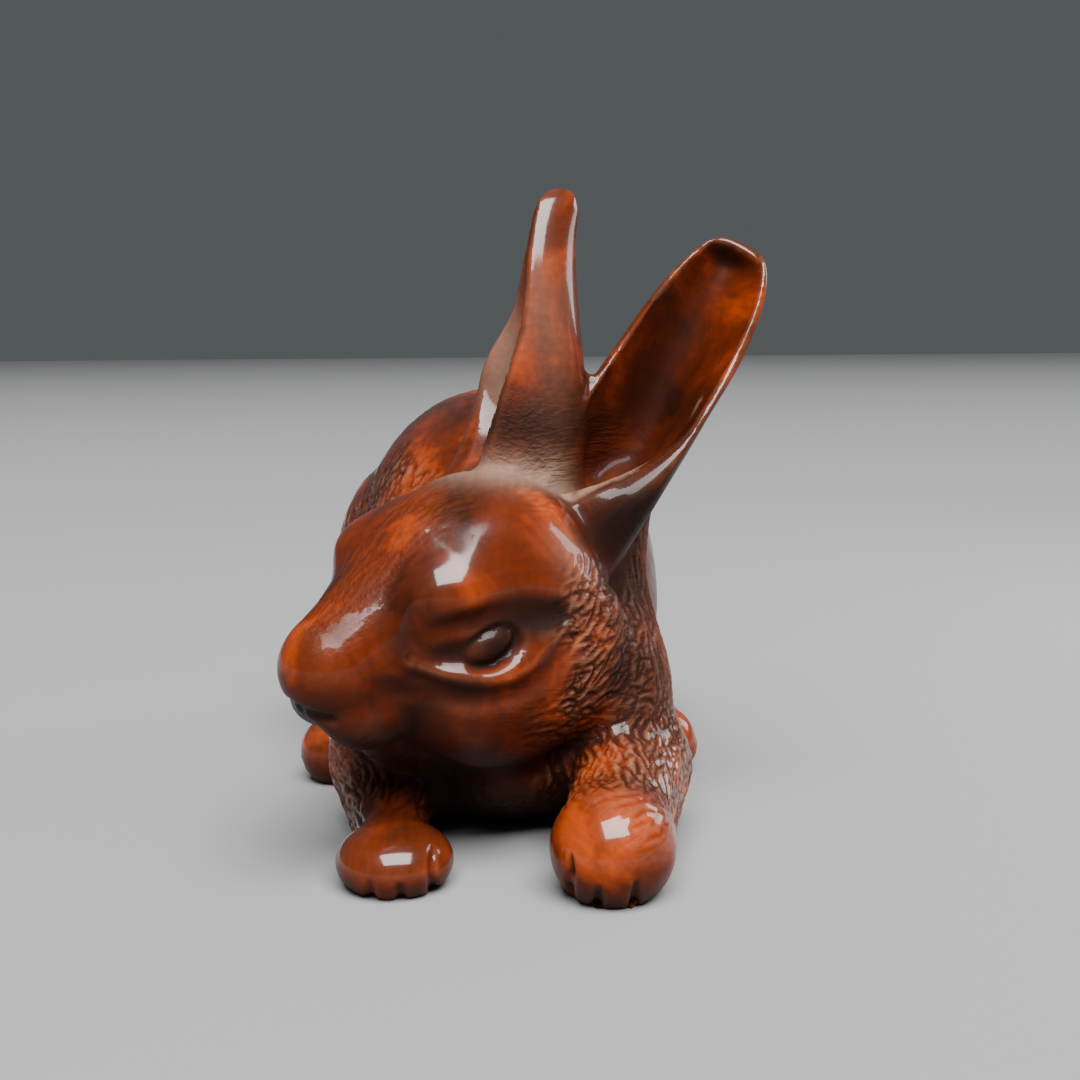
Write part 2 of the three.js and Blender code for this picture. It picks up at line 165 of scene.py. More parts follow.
def strand(*places: Triple, radii: Sequence[float]) -> Field:
    """A bent rod along a smooth curve.

    Args:
        places: the places that the curve goes through.
        radii: the radius at each of them.

    Returns:
        The form's field, which is far away where the strand isn't near.
    """
    knots = np.column_stack([places, radii])
    padded = np.concatenate([2 * knots[:1] - knots[1:2], knots, 2 * knots[-1:] - knots[-2:-1]])
    curve = [knots[0]]
    for before, here, there, after in zip(padded, padded[1:], padded[2:], padded[3:]):
        for t in (0.25, 0.5, 0.75, 1.0):
            curve.append(
                here
                + 0.5 * t * (there - before)
                + t * t * (before - 2.5 * here + 2 * there - 0.5 * after)
                + 0.5 * t**3 * (3 * here - before - 3 * there + after)
            )
    curve = np.array(curve)
    reach = STRAND_REACH + max(radii)
    low, high = curve[:, :3].min(axis=0) - reach, curve[:, :3].max(axis=0) + reach
    parts = [limb(tuple(a[:3]), a[3], tuple(b[:3]), b[3]) for a, b in zip(curve, curve[1:])]

    def distance(p: np.ndarray) -> np.ndarray:
        """The distance to the strand from each place."""
        value = np.full(len(p), FAR)
        near = np.all((p > low) & (p < high), axis=1)
        if near.any():
            value[near] = np.min([part(p[near]) for part in parts], axis=0)
        return value

    return distance


def one_side(p: np.ndarray) -> np.ndarray:
    """Places, each brought over the middle plane to the +X side."""
    return np.abs(p) * [1, 0, 0] + p * [0, 1, 1]


def paired(form: Field) -> Field:
    """The same form on both sides of the middle plane."""
    return lambda p: form(one_side(p))


def joined(first: Field, *others: tuple[Field, float]) -> Field:
    """Joins forms one after another.

    Args:
        first: the form to start from.
        others: the forms that are joined to it, each with its own fillet.

    Returns:
        The field of all of them.
    """

    def distance(p: np.ndarray) -> np.ndarray:
        """The distance to the joined forms from each place."""
        wood = first(p)
        for form, fillet in others:
            wood = blend(wood, form(p), fillet)
        return wood

    return distance


# The form


@dataclass
class Head:
    """The head, in a frame of its own: X to the rabbit's right, Y to the nose and Z to the crown."""

    turn: float = 49.0  # degrees towards the rabbit's right
    tilt: float = 13.0  # degrees, left ear down
    lift: float = -4.0  # degrees, nose up
    origin: Triple = (-4.0, -23.0, 24.0)
    pouch_fillet: float = 1.6
    eye_fillet: float = 0.2

    def frame(self) -> np.ndarray:
        """The head's axes.

        Returns:
            The three axes in the carving's frame, as the rows of a turn.
        """
        turn, tilt, lift = (math.radians(a) for a in (self.turn, self.tilt, self.lift))
        level = np.array([-math.sin(turn), -math.cos(turn), 0.0])
        side = np.array([math.cos(turn), -math.sin(turn), 0.0])
        up = np.array([0.0, 0.0, math.cos(tilt)]) + side * math.sin(tilt)
        y = level * math.cos(lift) + up * math.sin(lift)
        y /= np.linalg.norm(y)
        x = np.cross(y, up)
        x /= np.linalg.norm(x)
        return np.stack([x, y, np.cross(x, y)])

    def inward(self, p: np.ndarray) -> np.ndarray:
        """Places of the carving, in the head's frame."""
        return (p - np.array(self.origin)) @ self.frame().T

    def skull(self) -> Field:
        """The head's main forms.

        Returns:
            Their field, in the head's frame.
        """
        return joined(
            egg((0, -1.5, 1.8), (10.6, 12.6, 11.3)),  # the crown
            (limb((0, 4, -2.6), 8.4, (0, 14.2, -3.4), 4.7), 6),  # the muzzle
            (limb((0, 4.5, 3.3), 6.5, (0, 15.4, -1.2), 3.2), 4),  # the bridge of the nose
            (paired(egg((6.4, -0.6, -6.0), (5.6, 9.2, 7.4), 2)), 4),  # the cheeks
            (paired(egg((7.4, -5.4, -2.6), (5.0, 7.6, 8.4), 0, 12)), 3),  # the ruff behind them
            (paired(egg((2.6, 12.9, -6.8), (3.0, 4.1, 3.0), 8)), 1.4),  # the upper lips
            (limb((0, 1, -10.4), 6.0, (0, 8.4, -10.8), 2.8), 2.2),  # the jaw
            (egg((0, 16.8, -2.5), (3.1, 2.5, 2.6)), 1.6),  # the nose
            (paired(egg((5.4, 4.8, 4.6), (3.4, 5.4, 3.2), 14, -12)), 3),  # the brows
        )

    def pouches(self) -> Field:
        """The folds of skin below the eyes.

        Returns:
            Their field, in the head's frame.
        """
        return paired(
            strand(
                (6.6, 11.2, -0.4),
                (8.8, 8.1, -1.3),
                (10.0, 5.7, -1.9),
                (10.9, 3.4, -1.7),
                (11.2, 1.2, -0.3),
                (10.6, -1.8, 2.2),
                radii=(0.1, 0.4, 0.6, 0.6, 0.4, 0.1),
            )
        )

    def cuts(self) -> list[tuple[Field, float]]:
        """What is cut into the head.

        Returns:
            The field of each cut, in the head's frame, and the ease of its edge.
        """
        brow = strand(
            (7.6, 12.0, 2.0),
            (9.1, 7.6, 3.4),
            (10.4, 4.5, 4.0),
            (11.0, 1.6, 3.9),
            (11.3, -1.6, 3.4),
            radii=(0.1, 0.5, 0.75, 1.1, 0.7),
        )
        below_pouch = strand(
            (8.2, 10.4, -3.1),
            (10.0, 7.9, -3.4),
            (11.6, 5.7, -3.3),
            (12.6, 2.6, -2.8),
            (13.0, -0.2, -1.3),
            (12.6, -2.8, 1.2),
            radii=(0.1, 0.4, 0.55, 0.55, 0.5, 0.2),
        )
        inner_corner = strand((7.9, 12.0, 0.2), (8.8, 9.3, 0.5), (9.9, 7.3, 0.9), radii=(0.1, 0.8, 1.0))
        cheek_dent = strand((5.9, 14.8, -2.1), (6.5, 12.6, -3.0), (8.3, 10.4, -3.6), radii=(0.1, 0.75, 0.1))
        mouth = strand(
            (0, 14.4, -10.1),
            (3.0, 13.4, -10.4),
            (5.4, 11.4, -10.2),
            (7.3, 9.4, -8.6),
            radii=(0.3, 0.35, 0.4, 0.2),
        )
        nose_rim = strand((0, 18.9, -5.3), (1.6, 18.5, -5.6), (3.2, 17.2, -5.6), radii=(0.35, 0.4, 0.15))
        lip_parting = strand((0, 18.4, -5.6), (0, 17.4, -7.6), (0, 15.2, -9.6), radii=(0.25, 0.35, 0.25))
        eye_socket = egg((11.2, 5.1, 1.3), (2.7, 3.6, 2.1), -22, 16)
        return [
            (paired(brow), 1.8),
            (paired(below_pouch), 1.6),
            (paired(inner_corner), 1.2),
            (paired(cheek_dent), 1.2),
            (paired(mouth), 0.7),
            (paired(nose_rim), 1.0),
            (lip_parting, 0.7),
            (paired(eye_socket), 0.4),
        ]

    def form(self) -> Field:
        """The whole head, with its folds, cuts and eyes.

        Returns:
            Its field, in the carving's frame.
        """
        skull, pouches, cuts = self.skull(), self.pouches(), self.cuts()
        eyeballs = paired(egg((8.6, 4.8, 0.9), (1.7, 2.8, 1.6), -24, 16))

        def distance(p: np.ndarray) -> np.ndarray:
            """The distance to the head from each place of the carving."""
            q = self.inward(p)
            wood = blend(skull(q), pouches(q), self.pouch_fillet)
            for tool, ease in cuts:
                wood = carve(wood, tool(q), ease)
            return blend(wood, eyeballs(q), self.eye_fillet)

        return distance


@dataclass(frozen=True)
class Paw:
    """A forepaw, with cuts between its toes."""

    centre: Triple
    radii: Triple
    toe_gaps: tuple[Pair, ...]  # the x of each cut, and the height that it goes up to
    heights: Four = (0.0, 0.3, 0.7, 1.0)  # the places along a cut, as shares of that height
    foot: float = -0.5  # where a cut starts
    outside: float = 0.05  # how far the middle of a cut is from the paw's surface
    cut_radii: Four = (0.45, 0.4, 0.3, 0.05)

    def form(self) -> Field:
        """The paw's field, without its cuts."""
        return egg(self.centre, self.radii)

    def toe_cuts(self) -> list[Field]:
        """The cuts between the toes, up the front of the paw.

        Returns:
            The field of each cut.
        """
        cuts = []
        for x, top in self.toe_gaps:
            places = []
            for share in self.heights:
                z = share * top if share else self.foot
                across, up = (x - self.centre[0]) / self.radii[0], (z - self.centre[2]) / self.radii[2]
                ahead = math.sqrt(max(1 - across**2 - up**2, 0.02))
                places.append((x, self.centre[1] - self.radii[1] * ahead - self.outside, z))
            cuts.append(strand(*places, radii=self.cut_radii))
        return cuts


@dataclass
class Body:
    """The trunk and legs."""

    neck: float = 2.0  # the fillet between head and body
    toe_ease: float = 0.5  # of the edges between the toes
    left_paw: Paw = Paw((9, -35.6, 4.2), (5.1, 5.4, 5.0), ((5.2, 5.0), (7.4, 2.6), (10.6, 3.0)))
    right_paw: Paw = Paw((-10.5, -31.5, 2.4), (5.4, 5.4, 3.5), ((-12.5, 2.0), (-9.8, 2.0), (-7.0, 4.4)))

    def trunk(self) -> Field:
        """The trunk, without legs and tail.

        Returns:
            Its field, in the carving's frame.
        """
        return joined(
            egg((0, 13, 23.5), (16.5, 25, 20), 6),  # the back
            (egg((0, -5, 15), (13.5, 14, 13.5)), 7),  # the forequarters
            (egg((0, 22, 16.5), (16, 17.5, 17)), 6),  # the rump
            (egg((1, -11, 20), (11.0, 8.5, 14), -12), 6),  # the neck
            (egg((0, 2, 8), (13.5, 27, 9)), 5),  # the belly
            (egg((0, -7, 7.5), (11.5, 12.5, 9)), 3),  # the chest
        )

    def form(self) -> Field:
        """The whole body, with its legs, tail and toes.

        Returns:
            Its field, in the carving's frame.
        """
        left_leg = limb((13.2, -18, 7.0), 5.8, (9.4, -34.5, 4.6), 5.1)
        right_leg = limb((-12.2, -15, 6.6), 5.6, (-10.8, -27.5, 2.2), 3.2)
        left_foreleg = joined(left_leg, (self.left_paw.form(), 2.5))
        right_foreleg = joined(right_leg, (self.right_paw.form(), 1.6))
        legs = joined(
            self.trunk(),
            (paired(egg((9.8, -13, 12.5), (7.6, 11, 12.5), 14, 6)), 3.5),  # the shoulders
            (paired(limb((15, 24, 4.2), 4.8, (18.4, 2.2, 3.4), 4.2)), 1.6),  # the hind feet
            (paired(egg((13.2, 2.4, 5.2), (3.8, 5.8, 4.8))), 1.6),  # the knees
            (paired(egg((12.8, 17.0, 17.5), (7.0, 15.5, 16.5), -18, -5)), 1.4),  # the haunches
            (egg((0, 38.5, 13), (5.6, 4.6, 8.5), 16), 1.6),  # the tail
            (left_foreleg, 2.2),
            (right_foreleg, 2.2),
            (limb((7.6, -12.5, 22), 6.6, (12.4, -9.6, 33), 3.6), 4),  # behind the stem of the left ear
            (limb((0, -14, 27), 6.5, (4.6, -13.6, 35), 3.4), 3),  # below the right ear
        )
        toe_cuts = self.left_paw.toe_cuts() + self.right_paw.toe_cuts()

        def distance(p: np.ndarray) -> np.ndarray:
            """The distance to the body from each place."""
            wood = legs(p)
            for cut in toe_cuts:
                wood = carve(wood, cut(p), self.toe_ease)
            return wood

        return distance


class Side(Enum):
    """The rabbit's own left and right, each with the sign of its ear's outer rim."""

    LEFT = -1
    RIGHT = 1


@dataclass
class Ear:
    """An ear: a leaf on a straight line from its root to its tip, open on the side that it faces.

    A pair of sizes is for the inner and the outer half, or from the root on. Places along the ear are
    shares of its length.
    """

    side: Side
    root: Triple
    tip: Triple
    faces: Triple
    width: float = 6.4  # mm, of each half
    depth: float = 9.0  # mm
    wall: float = 1.7  # mm
    lip: float = 0.9  # mm
    root_width: float = 0.66  # a share of the width
    widest: Pair = (0.34, 0.66)
    tip_power: Pair = (1.9, 2.6)  # how full each half stays up to the tip
    thinning: Triple = (0.32, 0.97, 0.44)  # from where, to where and to what share the depth shrinks
    hollow: Pair = (0.16, 0.5)  # from where to where the hollow widens
    slit: float = 0.25  # its width where it starts, in widths of a half
    opened: Four = (0.14, 0.32, 0.93, 0.99)  # where it deepens and where it ends
    bowl_power: float = 0.6  # how round its floor is
    flare: float = 2.4  # mm that the outer rim stands out
    flared: Four = (0.05, 0.4, 0.5, 0.72)
    drop: float = 1.0  # mm that the inner rim lies back
    dropped: Pair = (0.62, 0.14)  # around where, and how far along
    roll: float = 1.5  # mm that the outer lip rises in its middle
    rolled: Pair = (0.08, 0.24)
    bulge: Pair = (0.75, 0.12)  # of the front where it is closed, as shares of the outer half
    tip_back: float = 0.28  # how far the tip lies back, as a share of the depth
    stations: int = 96
    strips: int = 36
    lip_places: tuple[int, int] = (8, 5)  # along each lip, with its ends
    end: float = 0.998  # the last section
    crowding: float = 1.35  # how much closer the sections are near the tip

    def half_width(self, t: float, half: int) -> float:
        """How wide one half of the ear is.

        Args:
            t: where along the ear.
            half: 0 for the inner half, 1 for the outer one.

        Returns:
            The width, mm.
        """
        widest, power = self.widest[half], self.tip_power[half]
        past = min(max((t - widest) / (1.0 - widest), 0.0), 1.0)
        growth = math.sin(math.pi / 2 * min(max(t / widest, 0.0), 1.0))
        share = self.root_width + (1 - self.root_width) * growth
        return self.width * share * (1 - past**power) ** (1 / power)

    def section(self, t: float) -> np.ndarray:
        """One section of the ear, once around.

        Args:
            t: where along the ear.

        Returns:
            Places across and out of the hollow, mm, in rows.
        """
        inner, outer = self.half_width(t, 0), self.half_width(t, 1)
        rounding = min((inner + outer) / self.width, 1.0)
        low, high, left = self.thinning
        depth = self.depth * (1 + (left - 1) * smooth_step(t, low, high)) * rounding
        start, full = self.hollow
        lip = self.lip / self.width
        inner_edge = lip - 1
        share = math.sqrt(smooth_step(t, start, full))
        outer_edge = (inner_edge + self.slit) * (1 - share) + (1 - lip) * share
        middle, reach = (inner_edge + outer_edge) / 2, (outer_edge - inner_edge) / 2
        low_bulge, high_bulge = self.bulge
        bulge = outer * (low_bulge + (high_bulge - low_bulge) * smooth_step(t, 0, full))
        flare = self.flare * between(t, *self.flared)
        drop = self.drop * math.exp(-(((t - self.dropped[0]) / self.dropped[1]) ** 2))
        roll = self.roll * smooth_step(t, *self.rolled)

        turn = np.linspace(0, math.pi, self.strips + 1)
        s_back = -np.cos(turn)
        back = -depth * np.sqrt(np.maximum(1 - s_back**2, 0))
        outer_places, inner_places = self.lip_places
        lip_out = 1 + (outer_edge - 1) * np.linspace(0, 1, outer_places)[1:-1] ** 2
        s_floor = middle + reach * np.cos(turn)
        lip_in = -1 + (inner_edge + 1) * np.linspace(1, 0, inner_places)[1:-1] ** 2
        s_front = np.concatenate([lip_out, s_floor, lip_in])
        on_lip = np.clip((s_front - (1 + outer_edge) / 2) / max((1 - outer_edge) / 2, 1e-6), -1, 1)
        arch = np.sqrt(np.maximum(1 - s_front**2, 0))
        closed = bulge * arch + roll * min(1 - outer_edge, 1) * np.sqrt(1 - on_lip**2)
        bowl = np.maximum(1 - ((s_front - middle) / reach) ** 2, 0) ** self.bowl_power
        bottom = -depth * arch + self.wall
        hollowed = np.minimum(closed + (bottom - closed) * bowl, closed)
        front = closed + (hollowed - closed) * between(t, *self.opened)

        s = np.concatenate([s_back, s_front])
        out = np.concatenate([back, front])
        out = out + np.where(s > 0, flare, -drop) * s**2 - (1 - rounding) * self.tip_back * self.depth
        across = np.where(s > 0, outer, inner) * s
        return np.stack([across * self.side.value, out], axis=1)

    def loft(self) -> tuple[np.ndarray, list[tuple[int, ...]]]:
        """The ear's surface, through all its sections.

        Returns:
            Its points, in the carving's frame, and its faces, as numbers of points.
        """
        root, tip = np.array(self.root), np.array(self.tip)
        up = tip - root
        length = float(np.linalg.norm(up))
        z = up / length
        faces = np.array(self.faces)
        y = faces - z * (faces @ z)
        y /= np.linalg.norm(y)
        x = np.cross(y, z)
        rings = []
        for n in range(self.stations + 1):
            t = self.end * (1 - (1 - n / self.stations) ** self.crowding)
            across, out = self.section(t).T
            rings.append(root + across[:, None] * x + out[:, None] * y + t * length * z)
        around = len(rings[0])
        quads = []
        for n in range(self.stations):
            for i in range(around):
                a, b = n * around + i, n * around + (i + 1) % around
                quads.append((a, b, b + around, a + around))
        quads.append(tuple(range(around))[::-1])
        quads.append(tuple(self.stations * around + i for i in range(around)))
        if self.side is Side.LEFT:
            quads = [q[::-1] for q in quads]
        return np.concatenate(rings), quads

    def beside(self, p: np.ndarray, start: float) -> np.ndarray:
        """How far places are from the ear's middle line.

        Args:
            p: the places.
            start: where along the ear the line starts.

        Returns:
            The distance of each, mm.
        """
        root, along = np.array(self.root), np.array(self.tip) - np.array(self.root)
        t = np.clip((p - root) @ along / (along @ along), start, 1)
        return np.linalg.norm(p - root - t[:, None] * along, axis=1)


@dataclass
class Skin:
    """The carving's fine surface, made from the frame's solid."""

    node: bpy.types.Object
    voxel: float = 0.61  # mm
    head: Head = field(default_factory=Head)
    body: Body = field(default_factory=Body)
    ears: tuple[Ear, ...] = (
        Ear(Side.LEFT, (5.0, -20.6, 26.5), (24.0, -11.8, 59.8), (-0.3, -1, 0.1)),
        Ear(Side.RIGHT, (-3.2, -15.4, 27.0), (4.6, -11.4, 64.6), (-1, 0.02, 0.1)),
    )
    ear_fillet: float = 1.2
    ear_size: float = 7.0  # mm from an ear's middle line to about its surface
    ear_reach: float = 13.0  # mm from that line to where the ear's distance counts
    free_ear: float = 0.16  # where along an ear it leaves the head
    probe: float = 0.02  # mm: the step that shows how fast a distance grows
    settle_steps: int = 3
    furthest: float = 0.4  # mm that a corner moves in one of them
    damping: float = 0.05  # keeps a step short where the distance hardly grows
    lost: float = 0.12  # mm: a corner further than this from the form didn't reach it
    least_growth: float = 0.3  # nor did one where the distance grows less than this
    foot: float = 0.5  # mm: below this height nothing is mended
    mend_rounds: int = 30
    mend_width: int = 4  # the edges that a mend reaches beyond them
    triangles: int = 190_000  # at most

    def build(self) -> bpy.types.Object:
        """Makes the piece.

        Returns:
            The piece, carved and marked for its finish, its painted shade and its painted highlights.
        """
        piece = self.copy_of_solid()
        self.remesh(piece)
        figure = self.figure()
        trees = [self.tree_of(ear) for ear in self.ears]
        for _ in range(2):
            for _ in range(2):
                self.relax(piece)
                self.settle(piece, figure, trees)
            self.remesh(piece)
        self.relax(piece)
        self.settle(piece, figure, trees)
        log.info("%d faces after the first skin", len(piece.data.polygons))
        self.refine(piece)
        for _ in range(2):
            self.relax(piece)
            self.settle(piece, figure, trees)
        self.mend(piece, figure, trees)
        log.info("%d faces after refining", len(piece.data.polygons))
        dent, fur = FurCarver(piece, self.head, self.ear_clearance).carve(fur_patches())
        PatinaAndPaintedLight(self.head, self.ear_clearance).mark(piece, dent, fur)
        self.thin_out(piece)
        bpy.ops.object.shade_smooth()
        return piece

    def thin_out(self, piece: bpy.types.Object) -> None:
        """Takes corners out where the surface is flattest, down to the number of triangles allowed.

        Args:
            piece: the piece, active and selected.
        """
        triangles = sum(len(face.vertices) - 2 for face in piece.data.polygons)
        thinner = piece.modifiers.new("thin out", "DECIMATE")
        thinner.ratio = min(1.0, self.triangles / triangles)
        bpy.ops.object.modifier_apply(modifier=thinner.name)
        log.info("%d triangles, thinned out to %d", triangles, len(piece.data.polygons))

    def ear_clearance(self, p: np.ndarray) -> np.ndarray:
        """How far places are from the ears, so that no fur is cut into them.

        Args:
            p: the places.

        Returns:
            About the distance of each, mm.
        """
        far = np.full(len(p), FAR)
        for ear in self.ears:
            far = np.minimum(far, ear.beside(p, self.free_ear) - self.ear_size)
        return far

    def copy_of_solid(self) -> bpy.types.Object:
        """Copies the frame's solid and merges its loose triangles.

        Returns:
            The copy, active and the only thing selected.
        """
        bpy.ops.object.select_all(action="DESELECT")
        piece = self.node.copy()
        piece.data = self.node.data.copy()
        piece.name = "carved_rabbit"
        piece.data.name = "carved_rabbit"
        piece.parent = None
        for key in list(piece.keys()):
            del piece[key]
        bpy.context.scene.collection.objects.link(piece)
        piece.select_set(True)
        bpy.context.view_layer.objects.active = piece
        bpy.ops.object.mode_set(mode="EDIT")
        bpy.ops.mesh.select_all(action="SELECT")
        bpy.ops.mesh.remove_doubles(threshold=1e-7)
        bpy.ops.object.mode_set(mode="OBJECT")
        return piece

    def remesh(self, piece: bpy.types.Object) -> None:
        """Gives the piece an even skin of small quads.

        Args:
            piece: the piece, active and selected.
        """
        piece.data.remesh_voxel_size = self.voxel * MILLI
        piece.data.remesh_voxel_adaptivity = 0.0
        bpy.ops.object.voxel_remesh()

    def figure(self) -> Field:
        """Head and body in one field."""
        head, body = self.head.form(), self.body.form()
        return lambda p: blend(body(p), head(p), self.body.neck)

    def tree_of(self, ear: Ear) -> BVHTree:
        """The ear's surface, ready for nearest places."""
        points, quads = ear.loft()
        return BVHTree.FromPolygons([Vector(p) for p in points], quads)

    def relax(self, piece: bpy.types.Object) -> None:
        """Moves each corner halfway to the middle of its neighbours."""
        put_corners(piece, smoothed(corners_of(piece), edges_of(piece), 1))

    def ear_distance(self, p: np.ndarray, ear: Ear, tree: BVHTree) -> tuple[np.ndarray, np.ndarray]:
        """How far places are from an ear's surface.

        Args:
            p: the places.
            ear: the ear.
            tree: its surface.

        Returns:
            The distance of each place, and the direction in which it grows.
        """
        value = np.full(len(p), FAR)
        slope = np.tile([0.0, 0.0, 1.0], (len(p), 1))
        for n in np.flatnonzero(ear.beside(p, 0) < self.ear_reach):
            place, normal, _, distance = tree.find_nearest(Vector(p[n]))
            away = Vector(p[n]) - place
            sign = 1.0 if away.dot(normal) >= 0 else -1.0
            value[n] = sign * distance
            slope[n] = normal if distance < 1e-4 else away * sign / distance
        return value, slope

    def distance(
        self, p: np.ndarray, n: np.ndarray, figure: Field, trees: Sequence[BVHTree]
    ) -> tuple[np.ndarray, np.ndarray]:
        """How far places are from the whole form.

        Args:
            p: the places.
            n: a direction for each.
            figure: the field of head and body.
            trees: the surfaces of the ears.

        Returns:
            The distance of each place, and how fast it grows along the direction.
        """
        value, further = figure(p), figure(p + self.probe * n)
        for ear, tree in zip(self.ears, trees):
            other, slope = self.ear_distance(p, ear, tree)
            value = blend(value, other, self.ear_fillet)
            other_further = other + self.probe * np.sum(slope * n, axis=1)
            further = blend(further, other_further, self.ear_fillet)
        return value, (further - value) / self.probe

    def settle(self, piece: bpy.types.Object, figure: Field, trees: Sequence[BVHTree]) -> None:
        """Moves each corner along its normal onto the surface of the form.

        Args:
            piece: the piece.
            figure: the field of head and body.
            trees: the surfaces of the ears.
        """
        p, n = corners_of(piece), normals_of(piece)
        for _ in range(self.settle_steps):
            value, growth = self.distance(p, n, figure, trees)
            step = value * growth / (growth**2 + self.damping)
            step = np.clip(step, -self.furthest, self.furthest)
            p = p - step[:, None] * n
            p[:, 2] = np.maximum(p[:, 2], 0.0)
        put_corners(piece, p)

    def mend(self, piece: bpy.types.Object, figure: Field, trees: Sequence[BVHTree]) -> None:
        """Draws the corners that didn't reach the surface smoothly over the gaps that they leave.

        Args:
            piece: the piece.
            figure: the field of head and body.
            trees: the surfaces of the ears.
        """
        p, n, edges = corners_of(piece), normals_of(piece), edges_of(piece)
        value, growth = self.distance(p, n, figure, trees)
        off = (np.abs(value) > self.lost) | (growth < self.least_growth)
        lost = (off & (p[:, 2] > self.foot)).astype(float)
        wide = np.clip(smoothed(lost, edges, self.mend_width) * 8, 0, 1)[:, None]
        log.info("%d corners to mend", int(lost.sum()))
        for _ in range(self.mend_rounds):
            p = p + wide * (smoothed(p, edges, 1) - p)
        put_corners(piece, p)

    def refine(self, piece: bpy.types.Object) -> None:
        """Divides the faces where the carving is finest.

        Args:
            piece: the piece, active and selected.
        """
        centres = face_centres(piece)
        x, y, z = centres.T
        hidden = (np.abs(x + 2) < 6) & (z < 10) & (y > -26)  # between the forelegs
        fine = (y < -12) & (z > 0.3) & ~hidden
        fine |= (self.ear_clearance(centres) < 2) & (z > 34)  # the ears
        bpy.ops.object.mode_set(mode="EDIT")
        bpy.ops.mesh.select_mode(type="FACE")
        bpy.ops.mesh.select_all(action="DESELECT")
        bpy.ops.object.mode_set(mode="OBJECT")
        piece.data.polygons.foreach_set("select", fine)
        bpy.ops.object.mode_set(mode="EDIT")
        bpy.ops.mesh.subdivide(number_cuts=1, ngon=False)
        bpy.ops.object.mode_set(mode="OBJECT")


# The mesh's corners, edges and faces

def corners_of(piece: bpy.types.Object) -> np.ndarray:
    """The piece's corners, in the carving's frame.

    Args:
        piece: the piece.

    Returns:
        The place of each corner, mm.
    """
    flat = np.empty(len(piece.data.vertices) * 3)
    piece.data.vertices.foreach_get("co", flat)
    return from_row(flat.reshape(-1, 3))


def put_corners(piece: bpy.types.Object, points: np.ndarray) -> None:
    """Moves the piece's corners to places in the carving's frame."""
    piece.data.vertices.foreach_set("co", to_row(points).ravel())
    piece.data.update()


def edges_of(piece: bpy.types.Object) -> np.ndarray:
    """The piece's edges, as pairs of corners.

    Args:
        piece: the piece.

    Returns:
        The numbers of the two corners of each edge.
    """
    flat = np.empty(len(piece.data.edges) * 2, dtype=np.int32)
    piece.data.edges.foreach_get("vertices", flat)
    return flat.reshape(-1, 2)


def face_centres(piece: bpy.types.Object) -> np.ndarray:
    """The middle of each face, in the carving's frame.

    Args:
        piece: the piece.

    Returns:
        The place of each, mm.
    """
    flat = np.empty(len(piece.data.polygons) * 3)
    piece.data.polygons.foreach_get("center", flat)
    return from_row(flat.reshape(-1, 3))


def normals_of(piece: bpy.types.Object) -> np.ndarray:
    """The direction that each corner faces.

    Args:
        piece: the piece.

    Returns:
        A direction for each corner, 1 long.
    """
    flat = np.empty(len(piece.data.vertices) * 3, dtype=np.float32)
    piece.data.vertex_normals.foreach_get("vector", flat)
    return flat.reshape(-1, 3).astype(float)


def smoothed(values: np.ndarray, edges: np.ndarray, rounds: int) -> np.ndarray:
    """Evens out what is kept at each corner over its neighbours.

    Args:
        values: a value, or a row of values, for each corner.
        edges: the edges, as pairs of corners.
        rounds: how often each corner goes halfway to the mean of its neighbours.

    Returns:
        The smoother values.
    """
    count = np.bincount(edges.ravel(), minlength=len(values)).astype(float)
    columns = values.reshape(len(values), -1).copy()
    for _ in range(rounds):
        for c in range(columns.shape[1]):
            total = np.bincount(edges[:, 0], columns[edges[:, 1], c], len(values))
            total += np.bincount(edges[:, 1], columns[edges[:, 0], c], len(values))
            columns[:, c] = 0.5 * columns[:, c] + 0.5 * total / np.maximum(count, 1)
    return columns.reshape(values.shape)


def edge_squares(p: np.ndarray, edges: np.ndarray) -> np.ndarray:
    """How fine the mesh is at each corner.

    Args:
        p: the corners.
        edges: the edges, as pairs of corners.

    Returns:
        The mean squared length of each corner's edges.
    """
    squares = np.sum((p[edges[:, 0]] - p[edges[:, 1]]) ** 2, axis=1)
    total = np.bincount(edges[:, 0], squares, len(p)) + np.bincount(edges[:, 1], squares, len(p))
    return total / np.maximum(np.bincount(edges.ravel(), minlength=len(p)), 1)


# Fur


def band(x: np.ndarray, low: Values, high: Values, ease: float) -> np.ndarray:
    """1 between two values, fading out over the ease outside them."""
    return between(x, low - ease, low, high, high + ease)


class Frame(Enum):
    """The frame that a direction is given in."""

    CARVING = "carving"
    HEAD = "head"


@dataclass(frozen=True)
class FurPatch:
    """A patch of carved fur: short cuts that follow one flow."""

    name: str
    where: Callable[[np.ndarray, np.ndarray], np.ndarray]  # from places in carving and head frames, 0 to 1
    flow: Triple  # the way the hair lies
    frame: Frame  # the flow's
    length: float  # mm
    width: float  # mm, half of a cut
    depth: float  # mm
    spacing: float  # mm between the middles of two cuts
    curl: float = 0.5  # how far a cut bends, in radians


